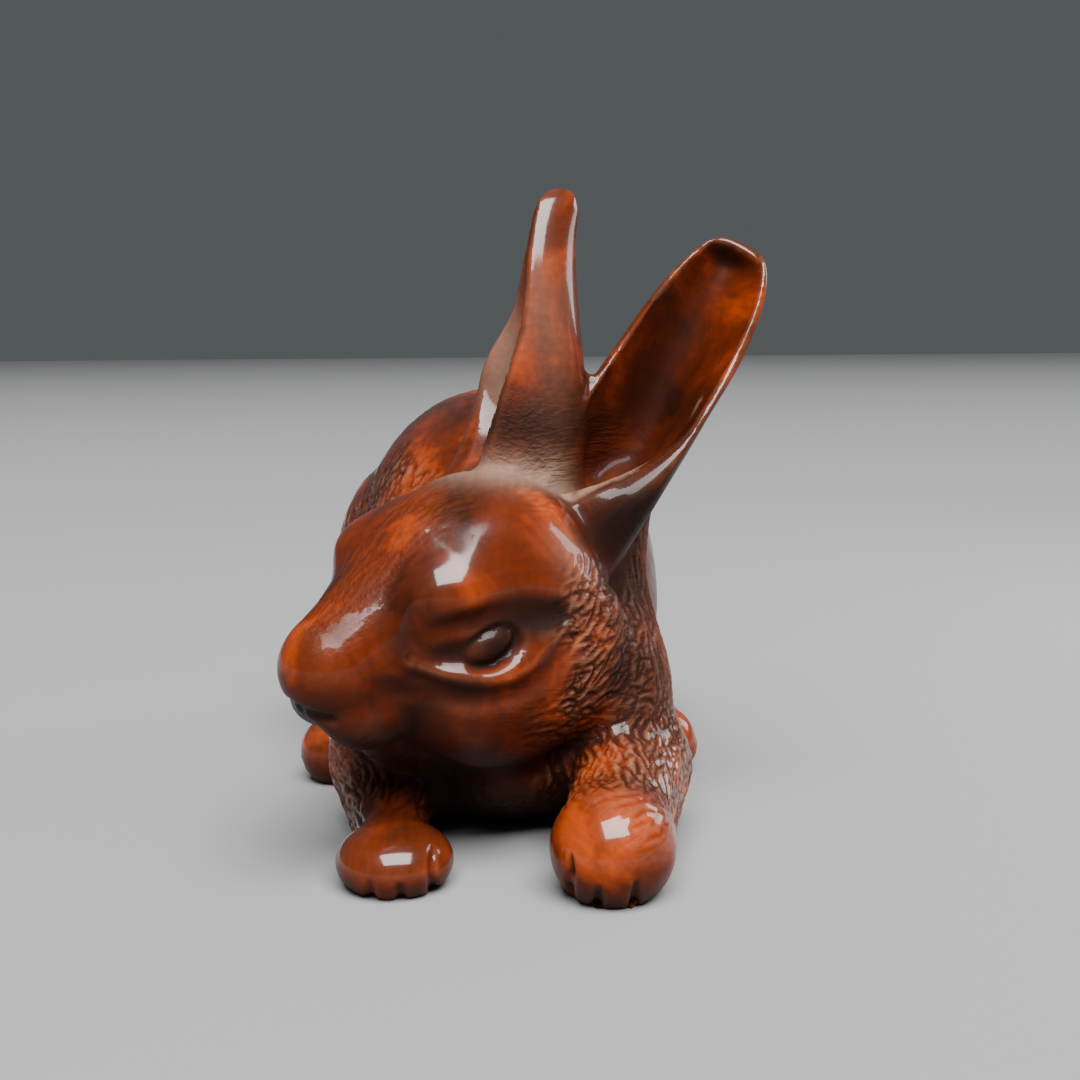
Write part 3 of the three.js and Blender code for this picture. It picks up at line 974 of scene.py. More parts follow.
def fur_patches() -> list[FurPatch]:
    """The patches of fur on the rabbit.

    Returns:
        The patches, in the order in which they are cut.
    """

    def ruff(p: np.ndarray, q: np.ndarray) -> np.ndarray:
        """The thick fur behind the cheeks, with a wavy front."""
        front = -3.0 + np.sin(0.9 * q[:, 2])
        away = smooth_step(np.abs(q[:, 0]), 6, 8)
        return band(q[:, 1], -12, front, 2.6) * band(q[:, 2], -7, 5.5, 1.8) * away

    def jaw(p: np.ndarray, q: np.ndarray) -> np.ndarray:
        """The short fur below the cheeks."""
        return band(q[:, 1], -9, 1, 2) * band(q[:, 2], -12, -6, 2) * smooth_step(np.abs(q[:, 0]), 6, 8)

    def bridge(p: np.ndarray, q: np.ndarray) -> np.ndarray:
        """The fine hair on the bridge of the nose."""
        middle = 1 - smooth_step(np.abs(q[:, 0]), 2.5, 4.5)
        return band(q[:, 1], 5, 17, 2) * smooth_step(q[:, 2], -1, 1.5) * middle

    def crown(p: np.ndarray, q: np.ndarray) -> np.ndarray:
        """The fine hair before the ears."""
        middle = 1 - smooth_step(np.abs(q[:, 0]), 6, 9)
        return band(q[:, 1], -11, -2.5, 2) * smooth_step(q[:, 2], 10, 11.5) * middle

    def foreleg(p: np.ndarray, q: np.ndarray) -> np.ndarray:
        """The fur of the forelegs, the left one further ahead."""
        height = band(p[:, 2], 2.5, 14, 1.5)
        left = band(p[:, 1], -32, -15, 2) * height * smooth_step(p[:, 0], 4, 6)
        return left + band(p[:, 1], -24, -15, 2) * height * smooth_step(-p[:, 0], 4, 6)

    def shoulder(p: np.ndarray, q: np.ndarray) -> np.ndarray:
        """The fur of the shoulders and the sides of the neck."""
        return band(p[:, 1], -21, 2, 2) * band(p[:, 2], 9, 35, 3) * smooth_step(np.abs(p[:, 0]), 8, 10)

    def chest(p: np.ndarray, q: np.ndarray) -> np.ndarray:
        """The long fur between the forelegs."""
        middle = 1 - smooth_step(np.abs(p[:, 0]), 6, 8)
        return band(p[:, 1], -24, -13, 1) * band(p[:, 2], 1, 13, 1) * middle

    def flank(p: np.ndarray, q: np.ndarray) -> np.ndarray:
        """The shallow fur of the back and the haunches."""
        return smooth_step(p[:, 1], 1, 6) * smooth_step(p[:, 2], 8.5, 11)

    def hind_foot(p: np.ndarray, q: np.ndarray) -> np.ndarray:
        """The coarse fur of the hind feet."""
        return band(p[:, 1], 4, 30, 2) * band(p[:, 2], 1.5, 8, 1) * smooth_step(np.abs(p[:, 0]), 12, 14)

    return [
        FurPatch("ruff", ruff, (0, -1, 0.35), Frame.HEAD, 2.8, 0.5, 0.34, 0.8, 0.9),
        FurPatch("jaw", jaw, (0, -1, 0.1), Frame.HEAD, 2.6, 0.4, 0.14, 1.1),
        FurPatch("bridge", bridge, (0, -1, 0.3), Frame.HEAD, 3.6, 0.32, 0.06, 0.7, 0.15),
        FurPatch("crown", crown, (0, -1, 0.0), Frame.HEAD, 2.6, 0.32, 0.1, 0.7, 0.4),
        FurPatch("foreleg", foreleg, (0, -1, -0.25), Frame.CARVING, 3.4, 0.5, 0.26, 0.85, 0.7),
        FurPatch("shoulder", shoulder, (0, -0.5, -1), Frame.CARVING, 3.4, 0.5, 0.22, 1.0, 0.6),
        FurPatch("chest", chest, (0, 0, -1), Frame.CARVING, 5.0, 0.45, 0.3, 1.0, 0.2),
        FurPatch("flank", flank, (0, 1, -0.35), Frame.CARVING, 5.0, 0.85, 0.08, 1.9, 0.6),
        FurPatch("hind foot", hind_foot, (0, -1, -0.1), Frame.CARVING, 4.5, 0.75, 0.14, 1.6, 0.3),
    ]


@dataclass
class FurCarver:
    """Cuts the fur into the piece's surface, one short cut after another."""

    piece: bpy.types.Object
    head: Head
    keep_clear: Field  # places nearer than nothing to this stay smooth
    seed: int = 7
    steps: int = 5  # along a cut
    full_depth: float = 0.25  # mm: a patch this deep counts as fully furry
    least: float = 0.15  # the weight below which no cut starts
    lengths: Pair = (0.7, 1.25)  # the range of a cut's length, as shares of the patch's
    depths: Pair = (0.7, 1.1)  # and of its depth
    wander: float = 0.22  # how far a cut turns from the flow, in radians
    edge_power: float = 1.1
    end_power: float = 0.5

    def __post_init__(self) -> None:
        """Reads the surface, and makes it ready for nearest corners."""
        self.corners, self.normals = corners_of(self.piece), normals_of(self.piece)
        self.tree = kdtree.KDTree(len(self.corners))
        for i, place in enumerate(self.corners):
            self.tree.insert(place, i)
        self.tree.balance()
        self.dent = np.zeros(len(self.corners))
        self.rng = np.random.default_rng(self.seed)

    def carve(self, patches: Sequence[FurPatch]) -> tuple[np.ndarray, np.ndarray]:
        """Cuts every patch.

        Args:
            patches: the patches of fur.

        Returns:
            How deep the surface was cut at each corner, mm, and how furry it is, 0 to 1.
        """
        in_head = self.head.inward(self.corners)
        fur = np.zeros(len(self.corners))
        clear = smooth_step(self.keep_clear(self.corners), 0.0, 1.0)
        for patch in patches:
            weight = patch.where(self.corners, in_head) * clear
            fur = np.maximum(fur, weight * min(patch.depth / self.full_depth, 1))
            seeds = self.seeds(weight, patch.spacing)
            flow = np.array(patch.flow, dtype=float)
            if patch.frame is Frame.HEAD:
                flow = flow @ self.head.frame()
            for seed in seeds:
                self.cut(seed, flow, patch, weight[seed])
            log.info("%d cuts of %s", len(seeds), patch.name)
        put_corners(self.piece, self.corners - self.dent[:, None] * self.normals)
        return self.dent, fur

    def seeds(self, weight: np.ndarray, spacing: float) -> list[int]:
        """Picks the corners at which cuts start.

        Args:
            weight: how much each corner is in the patch.
            spacing: the least distance between two of them, mm.

        Returns:
            The corners.
        """
        p = self.corners
        taken: dict[tuple[int, int, int], list[int]] = {}
        kept = []
        for i in self.rng.permutation(np.flatnonzero(weight > self.least)):
            cell = tuple(int(c) for c in np.floor(p[i] / spacing))
            near = (
                other
                for dx in (-1, 0, 1)
                for dy in (-1, 0, 1)
                for dz in (-1, 0, 1)
                for other in taken.get((cell[0] + dx, cell[1] + dy, cell[2] + dz), ())
            )
            if all(np.sum((p[i] - p[other]) ** 2) >= spacing * spacing for other in near):
                taken.setdefault(cell, []).append(i)
                kept.append(int(i))
        return kept

    def path(
        self, seed: int, flow: np.ndarray, length: float, turn: float, bend: float
    ) -> np.ndarray | None:
        """Follows the flow over the surface.

        Args:
            seed: the corner to start from.
            flow: the way the hair lies.
            length: how far to go, mm.
            turn: the angle from the flow at first, in radians.
            bend: how much it grows at each step.

        Returns:
            The places along the path, or None where the flow points into the surface or out of it.
        """
        path = [self.corners[seed]]
        normal = self.normals[seed]
        for _ in range(self.steps):
            ahead = flow - normal * (flow @ normal)
            size = np.linalg.norm(ahead)
            if size < 0.2:
                return None
            ahead /= size
            ahead = ahead * math.cos(turn) + np.cross(normal, ahead) * math.sin(turn)
            step = path[-1] + ahead * length / self.steps
            place, index, _ = self.tree.find(step)
            normal = self.normals[index]
            path.append(step - normal * ((step - np.array(place)) @ normal))
            turn += bend
        return np.array(path)

    def cut(self, seed: int, flow: np.ndarray, patch: FurPatch, weight: float) -> None:
        """Makes one cut: a bent groove, deepest in its middle.

        Args:
            seed: the corner that it starts at.
            flow: the way the hair lies.
            patch: the patch that it belongs to.
            weight: how much of the patch's depth it has.
        """
        length = patch.length * self.rng.uniform(*self.lengths)
        turn = self.rng.normal(0.0, self.wander)
        bend = self.rng.normal(0.0, patch.curl) / self.steps
        path = self.path(seed, flow, length, turn, bend)
        if path is None:
            return
        around = self.tree.find_range(path[len(path) // 2], 0.5 * length + patch.width)
        near = np.array([i for _, i, _ in around])
        if not len(near):
            return
        nearest = np.full(len(near), FAR)
        along = np.zeros(len(near))
        for k, (a, b) in enumerate(zip(path, path[1:])):
            d = self.corners[near] - a
            t = np.clip(d @ (b - a) / max((b - a) @ (b - a), 1e-9), 0, 1)
            away = np.linalg.norm(d - t[:, None] * (b - a), axis=1)
            closer = away < nearest
            nearest[closer] = away[closer]
            along[closer] = (k + t[closer]) / (len(path) - 1)
        depth = patch.depth * weight * self.rng.uniform(*self.depths)
        edge = np.maximum(1 - nearest / patch.width, 0) ** self.edge_power
        ends = np.sin(math.pi * np.clip(along, 0.02, 0.98)) ** self.end_power
        self.dent[near] = np.maximum(self.dent[near], depth * (edge * ends))


# Finish, with painted shade and painted highlights


class Mark(Enum):
    """The channels of the piece's colour attribute."""

    # stain and painted shade in cuts, hollows, undersides and shadowed places
    RECESS = "Red"
    DUST = "Green"
    # wear on sharp edges, with painted highlights on fur crests and thin rims
    WORN = "Blue"
    HAIR = "Alpha"


MARKS = "carving_marks"
POLISHED = "hand_polished"


@dataclass(frozen=True)
class Spot:
    """A soft spot of the finish or of painted shade, which fades out at about its half sizes."""

    strength: float
    centre: Triple
    radii: Triple

    def at(self, p: np.ndarray) -> np.ndarray:
        """How strong it is at each place."""
        away = (p - np.array(self.centre)) / np.array(self.radii)
        return self.strength * np.exp(-np.sum(away**2, axis=1))


def spotted(p: np.ndarray, spots: Sequence[Spot]) -> np.ndarray:
    """The sum of soft spots at each place, no more than 1."""
    return np.clip(sum(spot.at(p) for spot in spots), 0, 1)


@dataclass(frozen=True)
class PatinaAndPaintedLight:
    """What handling and time leave on the wood, together with painted shade in hollows, on what faces down
    and where the carving lies in shadow, and painted highlights on its edges and crests, kept at the
    corners for the material to read.
    """

    head: Head
    clearance: Field  # about how far a place is from the ears
    # Soft spots of painted shade, laid on as dark stain: the hollows around the eye, the eyeball, the dent
    # in the cheek, under the nose, the lips and the jaw.
    head_shade: tuple[Spot, ...] = (
        Spot(0.9, (9.8, 3.0, 3.0), (2.6, 5.5, 1.5)),  # above the eye
        Spot(0.9, (8.4, 9.0, 0.6), (2.0, 2.5, 1.0)),  # its inner corner
        Spot(0.9, (10.9, -1.2, 2.8), (2.0, 2.2, 1.3)),  # its outer corner
        Spot(0.8, (10.2, 4.8, 1.0), (1.6, 2.2, 1.2)),  # the eyeball
        Spot(0.6, (6.0, 12.2, -3.2), (2.0, 2.5, 0.9)),  # the dent in the cheek
        Spot(0.9, (1.5, 18.4, -5.5), (2.5, 1.6, 0.9)),  # under the nose
        Spot(0.8, (3.0, 14.0, -9.4), (4.0, 5.0, 2.2)),  # the lips
        Spot(0.8, (5.0, 5.0, -13.0), (8.0, 8.0, 3.4)),  # the jaw
    )
    # Soft spots of painted shade, laid on as dark stain: the chest, the ears' stems, hollows and rims, the
    # gap behind the cheek, the left shoulder and the neck.
    body_shade: tuple[Spot, ...] = (
        Spot(1.8, (-3.0, -17.0, 8.0), (11.0, 7.0, 8.0)),  # the chest
        Spot(0.9, (3.0, -19.8, 41.0), (4.5, 2.5, 4.2)),  # the foot of the right ear
        Spot(0.6, (9.5, -12.0, 38.5), (5.0, 4.0, 5.0)),  # the floor of the left ear, low down
        Spot(0.9, (14.5, -22.3, 33.5), (4.0, 4.0, 2.5)),  # the left ear, below its rim
        Spot(0.8, (21.5, -17.0, 39.5), (3.0, 4.0, 3.5)),  # the same, further up
        Spot(0.8, (9.8, -24.8, 26.5), (3.0, 3.5, 5.0)),  # the stem of the left ear
        Spot(0.8, (10.5, -22.0, 31.0), (4.0, 4.0, 3.5)),  # the same, further up
        Spot(0.55, (15.0, -11.0, 44.0), (6.0, 4.0, 9.0)),  # the floor of the left ear
        Spot(0.6, (12.4, -7.0, 34.0), (4.5, 4.0, 4.0)),  # the stem's back
        Spot(0.7, (11.5, -25.0, 18.0), (2.5, 4.0, 5.0)),  # the gap behind the cheek
        Spot(0.5, (15.0, -19.0, 16.0), (5.0, 6.0, 5.0)),  # the left shoulder
        Spot(0.7, (13.0, -15.0, 24.0), (4.0, 6.0, 7.0)),  # the left side of the neck
    )
    dust: tuple[Spot, ...] = (
        Spot(1.0, (-0.5, -22.5, 37.0), (6.5, 4.5, 1.7)),  # before the ears
        Spot(0.8, (4.6, -19.0, 35.6), (3.0, 3.0, 2.0)),  # between the ears
        Spot(0.8, (0.5, -8.0, 47.0), (2.5, 3.0, 9.0)),  # inside the right ear: pale dust that also paints in a reflection of the pale surroundings
        Spot(0.35, (6.0, -27.6, 30.2), (3.0, 2.5, 2.5)),  # the side of the forehead
        Spot(0.3, (4.5, -17.5, 50.0), (3.0, 3.0, 9.0)),  # the front of the right ear
    )
    head_hair: tuple[Spot, ...] = (
        Spot(1.0, (0.0, 13.0, 2.5), (2.6, 7.0, 3.0)),  # the bridge of the nose
        Spot(1.0, (0.0, -8.0, 12.5), (10.0, 5.0, 2.0)),  # the crown
        Spot(0.5, (11.0, 4.0, -3.5), (3.0, 7.0, 2.5)),  # below the eye
    )
    body_hair: tuple[Spot, ...] = (
        Spot(1.0, (3.0, -19.8, 40.5), (4.0, 3.0, 4.0)),  # the foot of the right ear
        Spot(0.8, (9.5, -12.0, 38.5), (4.0, 5.0, 4.0)),  # the floor of the left ear, low down
    )
    head_dull: tuple[Spot, ...] = (
        Spot(1.3, (3.5, 2.5, 12.4), (5.5, 6.5, 2.3)),  # the top of the head
        Spot(1.0, (0.0, 16.0, 2.0), (5.0, 6.0, 3.2)),  # the bridge of the nose
        Spot(0.6, (10.4, 5.5, -0.9), (2.0, 4.5, 0.9)),  # the lower lid
    )
    body_dull: tuple[Spot, ...] = (
        Spot(0.9, (13.0, -20.0, 37.5), (5.0, 3.0, 3.0)),  # the left ear's lower rim
        Spot(0.9, (8.0, -16.0, 37.0), (4.0, 4.0, 3.0)),  # the bottom of its hollow
        Spot(1.0, (-1.0, -31.0, 34.2), (3.5, 4.0, 1.8)),  # above the forehead's bulge
        Spot(1.3, (13.0, -16.0, 24.0), (4.0, 8.0, 9.0)),  # the left side of the neck
        Spot(1.3, (12.8, -6.5, 34.0), (4.0, 4.0, 4.0)),  # behind the left ear
    )
    dusty_rim: tuple[Triple, ...] = (  # the left ear's lower rim
        (5.6, -20.4, 36.4),
        (6.7, -21.2, 33.8),
        (9.4, -20.7, 35.5),
        (12.8, -19.8, 37.4),
        (16.0, -18.4, 40.0),
        (19.7, -16.3, 43.3),
    )
    rim_radii: tuple[float, ...] = (0.1, 0.4, 0.5, 0.5, 0.4, 0.1)
    rim_fade: float = 0.5  # mm that the rim's dust fades over
    rim_dust: float = 0.8
    fine_rounds: int = 6  # of smoothing, to find narrow hollows and sharp edges
    fine_square: float = 0.1  # mm2: the squared edge that they are measured at
    broad_rounds: int = 60  # of smoothing, to find broad hollows
    broad_at_ears: float = 0.3  # how much these count at the ears
    full_hollow: float = 0.14  # mm: a narrow hollow this deep is fully darkened, as stain and painted shade
    full_broad: float = 1.2  # mm: a broad hollow this deep is fully darkened, as painted shade
    full_wear_and_highlight: float = 0.08  # mm: an edge or crest this sharp is fully pale, as wear and painted highlight
    bare_wear_and_highlight: float = 0.2  # how much of that shows where there is no fur
    downward_shade: float = 0.75  # painted shade on what faces down
    fur_hair: float = 0.8  # how strong the fine hair is on the fur
    polish_loss: float = 0.9  # what full stain and painted shade take from the polish

    def mark(self, piece: bpy.types.Object, dent: np.ndarray, fur: np.ndarray) -> None:
        """Writes the piece's marks: a colour, whose channels Mark names, and the polish.

        Args:
            piece: the carved piece.
            dent: how deep the fur is cut at each corner, mm.
            fur: how furry each corner is, 0 to 1.
        """
        p, n, edges = corners_of(piece), normals_of(piece), edges_of(piece)
        side = one_side(self.head.inward(p))
        fineness = np.minimum(self.fine_square / edge_squares(p, edges), 1)
        hollow = np.sum((smoothed(p, edges, self.fine_rounds) - p) * n, axis=1) * fineness
        free = self.broad_at_ears + (1 - self.broad_at_ears) * smooth_step(self.clearance(p), 0, 2)
        # Broad hollows, darkened as painted shade.
        broad = np.sum((smoothed(p, edges, self.broad_rounds) - p) * n, axis=1) * free
        fur = smoothed(fur, edges, 3)
        # Darkening from the fur cuts and narrow hollows, as stain and painted shade, and from broad
        # hollows, as painted shade.
        cut = np.clip(dent + hollow / self.full_hollow + broad / self.full_broad, 0, 1)
        # Painted shade on what faces down.
        unshaded_unstained = (1 - cut) * (1 - self.downward_shade * smooth_step(-n[:, 2], 0.0, 0.8))
        # Spots of painted shade on the head and the body.
        unshaded_unstained *= (1 - spotted(side, self.head_shade)) * (1 - spotted(p, self.body_shade))
        # The red mark: stain and painted shade.
        shade_and_stain = 1 - unshaded_unstained
        rim = 1 - smooth_step(strand(*self.dusty_rim, radii=self.rim_radii)(p), 0.0, self.rim_fade)
        dust = np.clip(spotted(p, self.dust) + self.rim_dust * rim, 0, 1)
        # Pale wear on sharp edges, with painted highlights on the fur's crests and the thin rims.
        wear_and_highlight = np.clip(-hollow / self.full_wear_and_highlight, 0, 1) * (self.bare_wear_and_highlight + (1 - self.bare_wear_and_highlight) * fur)
        hair = spotted(side, self.head_hair) + spotted(p, self.body_hair) + self.fur_hair * fur
        channels = {Mark.RECESS: shade_and_stain, Mark.DUST: dust, Mark.WORN: wear_and_highlight, Mark.HAIR: np.clip(hair, 0, 1)}
        colours = np.stack([channels[mark] for mark in Mark], axis=1)
        attribute = piece.data.color_attributes.new(MARKS, "FLOAT_COLOR", "POINT")
        attribute.data.foreach_set("color", colours.ravel())
        polished = smooth_step(n[:, 2], -0.15, 0.4) * (1 - self.polish_loss * shade_and_stain) * (1 - dust)
        polished *= (1 - spotted(side, self.head_dull)) * (1 - spotted(p, self.body_dull))
        attribute = piece.data.attributes.new(POLISHED, "FLOAT", "POINT")
        attribute.data.foreach_set("value", polished)


def new_group(name: str, inputs: dict[str, float], outputs: Sequence[str]) -> bpy.types.ShaderNodeTree:
    """Makes an empty shader group with a vector input.

    Args:
        name: the group's name.
        inputs: its number inputs and their values.
        outputs: its number outputs.

    Returns:
        The group, with its ends named in and out.
    """
    group = bpy.data.node_groups.new(name, "ShaderNodeTree")
    group.interface.new_socket("Vector", in_out="INPUT", socket_type="NodeSocketVector")
    for key, value in inputs.items():
        group.interface.new_socket(key, in_out="INPUT", socket_type="NodeSocketFloat").default_value = value
    for key in outputs:
        group.interface.new_socket(key, in_out="OUTPUT", socket_type="NodeSocketFloat")
    group.nodes.new("NodeGroupInput").name = "in"
    group.nodes.new("NodeGroupOutput").name = "out"
    return group


def noise(
    group: bpy.types.ShaderNodeTree, vector: bpy.types.NodeSocket, scale: str, settings: dict[str, float]
) -> bpy.types.NodeSocket:
    """Adds a noise pattern to a group.

    Args:
        group: the group.
        vector: the coordinates that it lies on.
        scale: the group's input that gives its scale.
        settings: its other inputs and their values.

    Returns:
        The socket with its mask.
    """
    node = group.nodes.new("ShaderNodeTexNoise")
    for key, value in settings.items():
        node.inputs[key].default_value = value
    group.links.new(vector, node.inputs["Vector"])
    group.links.new(group.nodes["in"].outputs[scale], node.inputs["Scale"])
    return node.outputs["Fac"]


def stretched(
    group: bpy.types.ShaderNodeTree, vector: bpy.types.NodeSocket, scale: Triple, turn: Triple = (0, 0, 0)
) -> bpy.types.NodeSocket:
    """Adds a mapping that draws the patterns after it out.

    Args:
        group: the group.
        vector: the coordinates before it.
        scale: its scale along each axis, where less than 1 draws a pattern out.
        turn: its turn, radians about X, Y and Z.

    Returns:
        The socket with the coordinates after it.
    """
    node = group.nodes.new("ShaderNodeMapping")
    node.inputs["Rotation"].default_value = turn
    node.inputs["Scale"].default_value = scale
    group.links.new(vector, node.inputs["Vector"])
    return node.outputs["Vector"]


@dataclass(frozen=True)
class WoodFigure:
    """The figure of the wood: soft patches, growth rings and fine pores. A shader group."""

    patch_scale: float = 90.0
    ring_scale: float = 260.0
    pore_scale: float = 1500.0
    pore_stretch: Triple = (1.0, 0.16, 1.0)

    def group(self) -> bpy.types.ShaderNodeTree:
        """Makes the group.

        Returns:
            The group, which puts out three masks.
        """
        group = new_group(
            "wood_figure",
            {"Patch Scale": self.patch_scale, "Ring Scale": self.ring_scale, "Pore Scale": self.pore_scale},
            ("Patches", "Rings", "Pores"),
        )
        links, start, end = group.links, group.nodes["in"].outputs, group.nodes["out"].inputs
        soft = {"Detail": 4.0, "Roughness": 0.55, "Distortion": 0.6}
        links.new(noise(group, start["Vector"], "Patch Scale", soft), end["Patches"])
        rings = group.nodes.new("ShaderNodeTexWave")
        rings.wave_type = "RINGS"
        rings.rings_direction = "Y"
        rings.wave_profile = "SAW"
        rings.inputs["Distortion"].default_value = 5.0
        rings.inputs["Detail"].default_value = 3.0
        rings.inputs["Detail Scale"].default_value = 0.6
        links.new(start["Vector"], rings.inputs["Vector"])
        links.new(start["Ring Scale"], rings.inputs["Scale"])
        links.new(rings.outputs["Fac"], end["Rings"])
        along = stretched(group, start["Vector"], self.pore_stretch)
        links.new(noise(group, along, "Pore Scale", {"Detail": 3.0}), end["Pores"])
        return group


@dataclass(frozen=True)
class HandPolish:
    """What rubbing leaves: a gloss that varies, and fine scratches. A shader group."""

    smear_scale: float = 220.0
    scratch_scale: float = 900.0
    scratch_stretch: Triple = (1.0, 0.12, 0.5)
    scratch_turn: Triple = (0.5, 0.3, 0.6)  # radians

    def group(self) -> bpy.types.ShaderNodeTree:
        """Makes the group.

        Returns:
            The group, which puts out a mask and a height.
        """
        group = new_group(
            "hand_polish",
            {"Smear Scale": self.smear_scale, "Scratch Scale": self.scratch_scale},
            ("Smear", "Height"),
        )
        links, start, end = group.links, group.nodes["in"].outputs, group.nodes["out"].inputs
        links.new(noise(group, start["Vector"], "Smear Scale", {"Detail": 6.0}), end["Smear"])
        along = stretched(group, start["Vector"], self.scratch_stretch, self.scratch_turn)
        sharp = {"Detail": 4.0, "Roughness": 0.65}
        links.new(noise(group, along, "Scratch Scale", sharp), end["Height"])
        return group


@dataclass(frozen=True)
class FineHair:
    """Hair lines along one direction. A shader group that puts out a height."""

    turn: Triple  # of the hair's direction, radians about X, Y and Z
    scale: float = 2600.0
    stretch: Triple = (1.0, 0.09, 1.0)

    def group(self) -> bpy.types.ShaderNodeTree:
        """Makes the group.

        Returns:
            The group, which puts out a height.
        """
        group = new_group("fine_hair", {"Scale": self.scale}, ("Height",))
        links, start, end = group.links, group.nodes["in"].outputs, group.nodes["out"].inputs
        turned = group.nodes.new("ShaderNodeMapping")
        turned.vector_type = "TEXTURE"
        turned.inputs["Rotation"].default_value = self.turn
        links.new(start["Vector"], turned.inputs["Vector"])
        along = stretched(group, turned.outputs["Vector"], self.stretch)
        links.new(noise(group, along, "Scale", {"Detail": 2.0, "Distortion": 0.3}), end["Height"])
        return group


@dataclass(frozen=True)
class Boxwood:
    """Boxwood stained reddish brown and polished by hand, dark in the cuts and in shadowed places, as stain
    and painted shade, pale on sharp edges and fur crests, as wear and painted highlight, and dull where
    dust lies.
    """

    glow: Triple = (0.5, 0.06, 0.004)  # where the stain is thin
    body: Triple = (0.15, 0.018, 0.002)
    deep: Triple = (0.03, 0.006, 0.002)
    shade_and_stain_colour: Triple = (0.006, 0.0035, 0.003)  # in the cuts, hollows and shadowed places: stain and painted shade
    dust: Triple = (0.38, 0.25, 0.18)
    wear_and_highlight: Triple = (0.42, 0.19, 0.1)  # on sharp edges and fur crests: wear and painted highlight
    turns: Triple = (0.34, 0.52, 0.68)  # the patches' values for deep, body and glow
    ring_share: float = 0.15
    wear_and_highlight_share: float = 0.75
    shade_and_stain_share: float = 0.96
    dust_share: float = 0.7
    pore_share: float = 0.5
    roughness: Pair = (0.22, 0.4)
    smear: Pair = (0.35, 0.7)  # the smears' values for the two ends of the roughness
    dull: float = 0.75  # the roughness of cuts, hair and dust
    dull_shares: Triple = (0.6, 0.7, 1.0)  # how far each of these goes towards it
    specular: float = 0.1
    coat: float = 0.9
    coat_roughness: float = 0.1
    scratch_strength: float = 0.2
    scratch_height: float = 0.00012  # m
    hair_height: float = 0.00022  # m
    hair_turn: Triple = (0.0, 0.0, math.radians(-41))

    def material(self) -> bpy.types.Material:
        """Makes the material.

        Returns:
            The material, whose patterns lie on the piece's own coordinates.
        """
        made = bpy.data.materials.new("polished_boxwood")
        made.use_nodes = True
        nodes, links = made.node_tree.nodes, made.node_tree.links
        shader = nodes["Principled BSDF"]
        shader.inputs["Specular IOR Level"].default_value = self.specular
        shader.inputs["Coat Roughness"].default_value = self.coat_roughness
        place = nodes.new("ShaderNodeTexCoord")
        groups = (WoodFigure().group(), HandPolish().group(), FineHair(self.hair_turn).group())
        figure, polish, hair = (self.placed(made, group, place) for group in groups)
        marks = nodes.new("ShaderNodeAttribute")
        marks.attribute_name = MARKS
        channels = nodes.new("ShaderNodeSeparateColor")
        links.new(marks.outputs["Color"], channels.inputs["Color"])
        # the red mark is stain and painted shade, the blue one wear and painted highlight
        shade_and_stain, dust, wear_and_highlight = (channels.outputs[m.value] for m in (Mark.RECESS, Mark.DUST, Mark.WORN))
        haired = marks.outputs[Mark.HAIR.value]

        ramp = nodes.new("ShaderNodeValToRGB")
        deep_turn, body_turn, glow_turn = self.turns
        stops = ramp.color_ramp.elements
        stops[0].position, stops[0].color = deep_turn, (*self.deep, 1)
        stops[1].position, stops[1].color = glow_turn, (*self.glow, 1)
        stops.new(body_turn).color = (*self.body, 1)
        links.new(figure.outputs["Patches"], ramp.inputs["Fac"])
        colour = ramp.outputs["Color"]
        for layer, mask, most in (
            (self.deep, figure.outputs["Rings"], self.ring_share),
            # pale wear and painted highlight
            (self.wear_and_highlight, wear_and_highlight, self.wear_and_highlight_share),
            # dark stain and painted shade
            (self.shade_and_stain_colour, shade_and_stain, self.shade_and_stain_share),
            (self.dust, dust, self.dust_share),
            (self.deep, figure.outputs["Pores"], self.pore_share),
        ):
            colour = self.over(made, colour, layer, mask, most)
        links.new(colour, shader.inputs["Base Color"])

        gloss = nodes.new("ShaderNodeMapRange")
        gloss.inputs["From Min"].default_value, gloss.inputs["From Max"].default_value = self.smear
        gloss.inputs["To Min"].default_value, gloss.inputs["To Max"].default_value = self.roughness
        links.new(polish.outputs["Smear"], gloss.inputs["Value"])
        rough = gloss.outputs["Result"]
        for mask, most in zip((shade_and_stain, haired, dust), self.dull_shares):
            rough = self.duller(made, rough, mask, most)
        links.new(rough, shader.inputs["Roughness"])

        rubbed = nodes.new("ShaderNodeAttribute")
        rubbed.attribute_name = POLISHED
        coat = nodes.new("ShaderNodeMath")
        coat.operation = "MULTIPLY"
        coat.inputs[1].default_value = self.coat
        links.new(rubbed.outputs["Fac"], coat.inputs[0])
        links.new(coat.outputs["Value"], shader.inputs["Coat Weight"])

        scratches = nodes.new("ShaderNodeBump")
        scratches.inputs["Strength"].default_value = self.scratch_strength
        scratches.inputs["Distance"].default_value = self.scratch_height
        links.new(polish.outputs["Height"], scratches.inputs["Height"])
        hairs = nodes.new("ShaderNodeBump")
        hairs.inputs["Distance"].default_value = self.hair_height
        links.new(haired, hairs.inputs["Strength"])
        links.new(hair.outputs["Height"], hairs.inputs["Height"])
        links.new(scratches.outputs["Normal"], hairs.inputs["Normal"])
        links.new(hairs.outputs["Normal"], shader.inputs["Normal"])
        return made

    def placed(
        self, made: bpy.types.Material, tree: bpy.types.ShaderNodeTree, place: bpy.types.Node
    ) -> bpy.types.Node:
        """Puts a group into the material, with the group's own values.

        Args:
            made: the material.
            tree: the group.
            place: the node with the piece's own coordinates.

        Returns:
            The group's node.
        """
        group = made.node_tree.nodes.new("ShaderNodeGroup")
        group.node_tree = tree
        made.node_tree.links.new(place.outputs["Object"], group.inputs["Vector"])
        for item in tree.interface.items_tree:
            if item.in_out == "INPUT" and item.name != "Vector":
                group.inputs[item.name].default_value = item.default_value
        return group

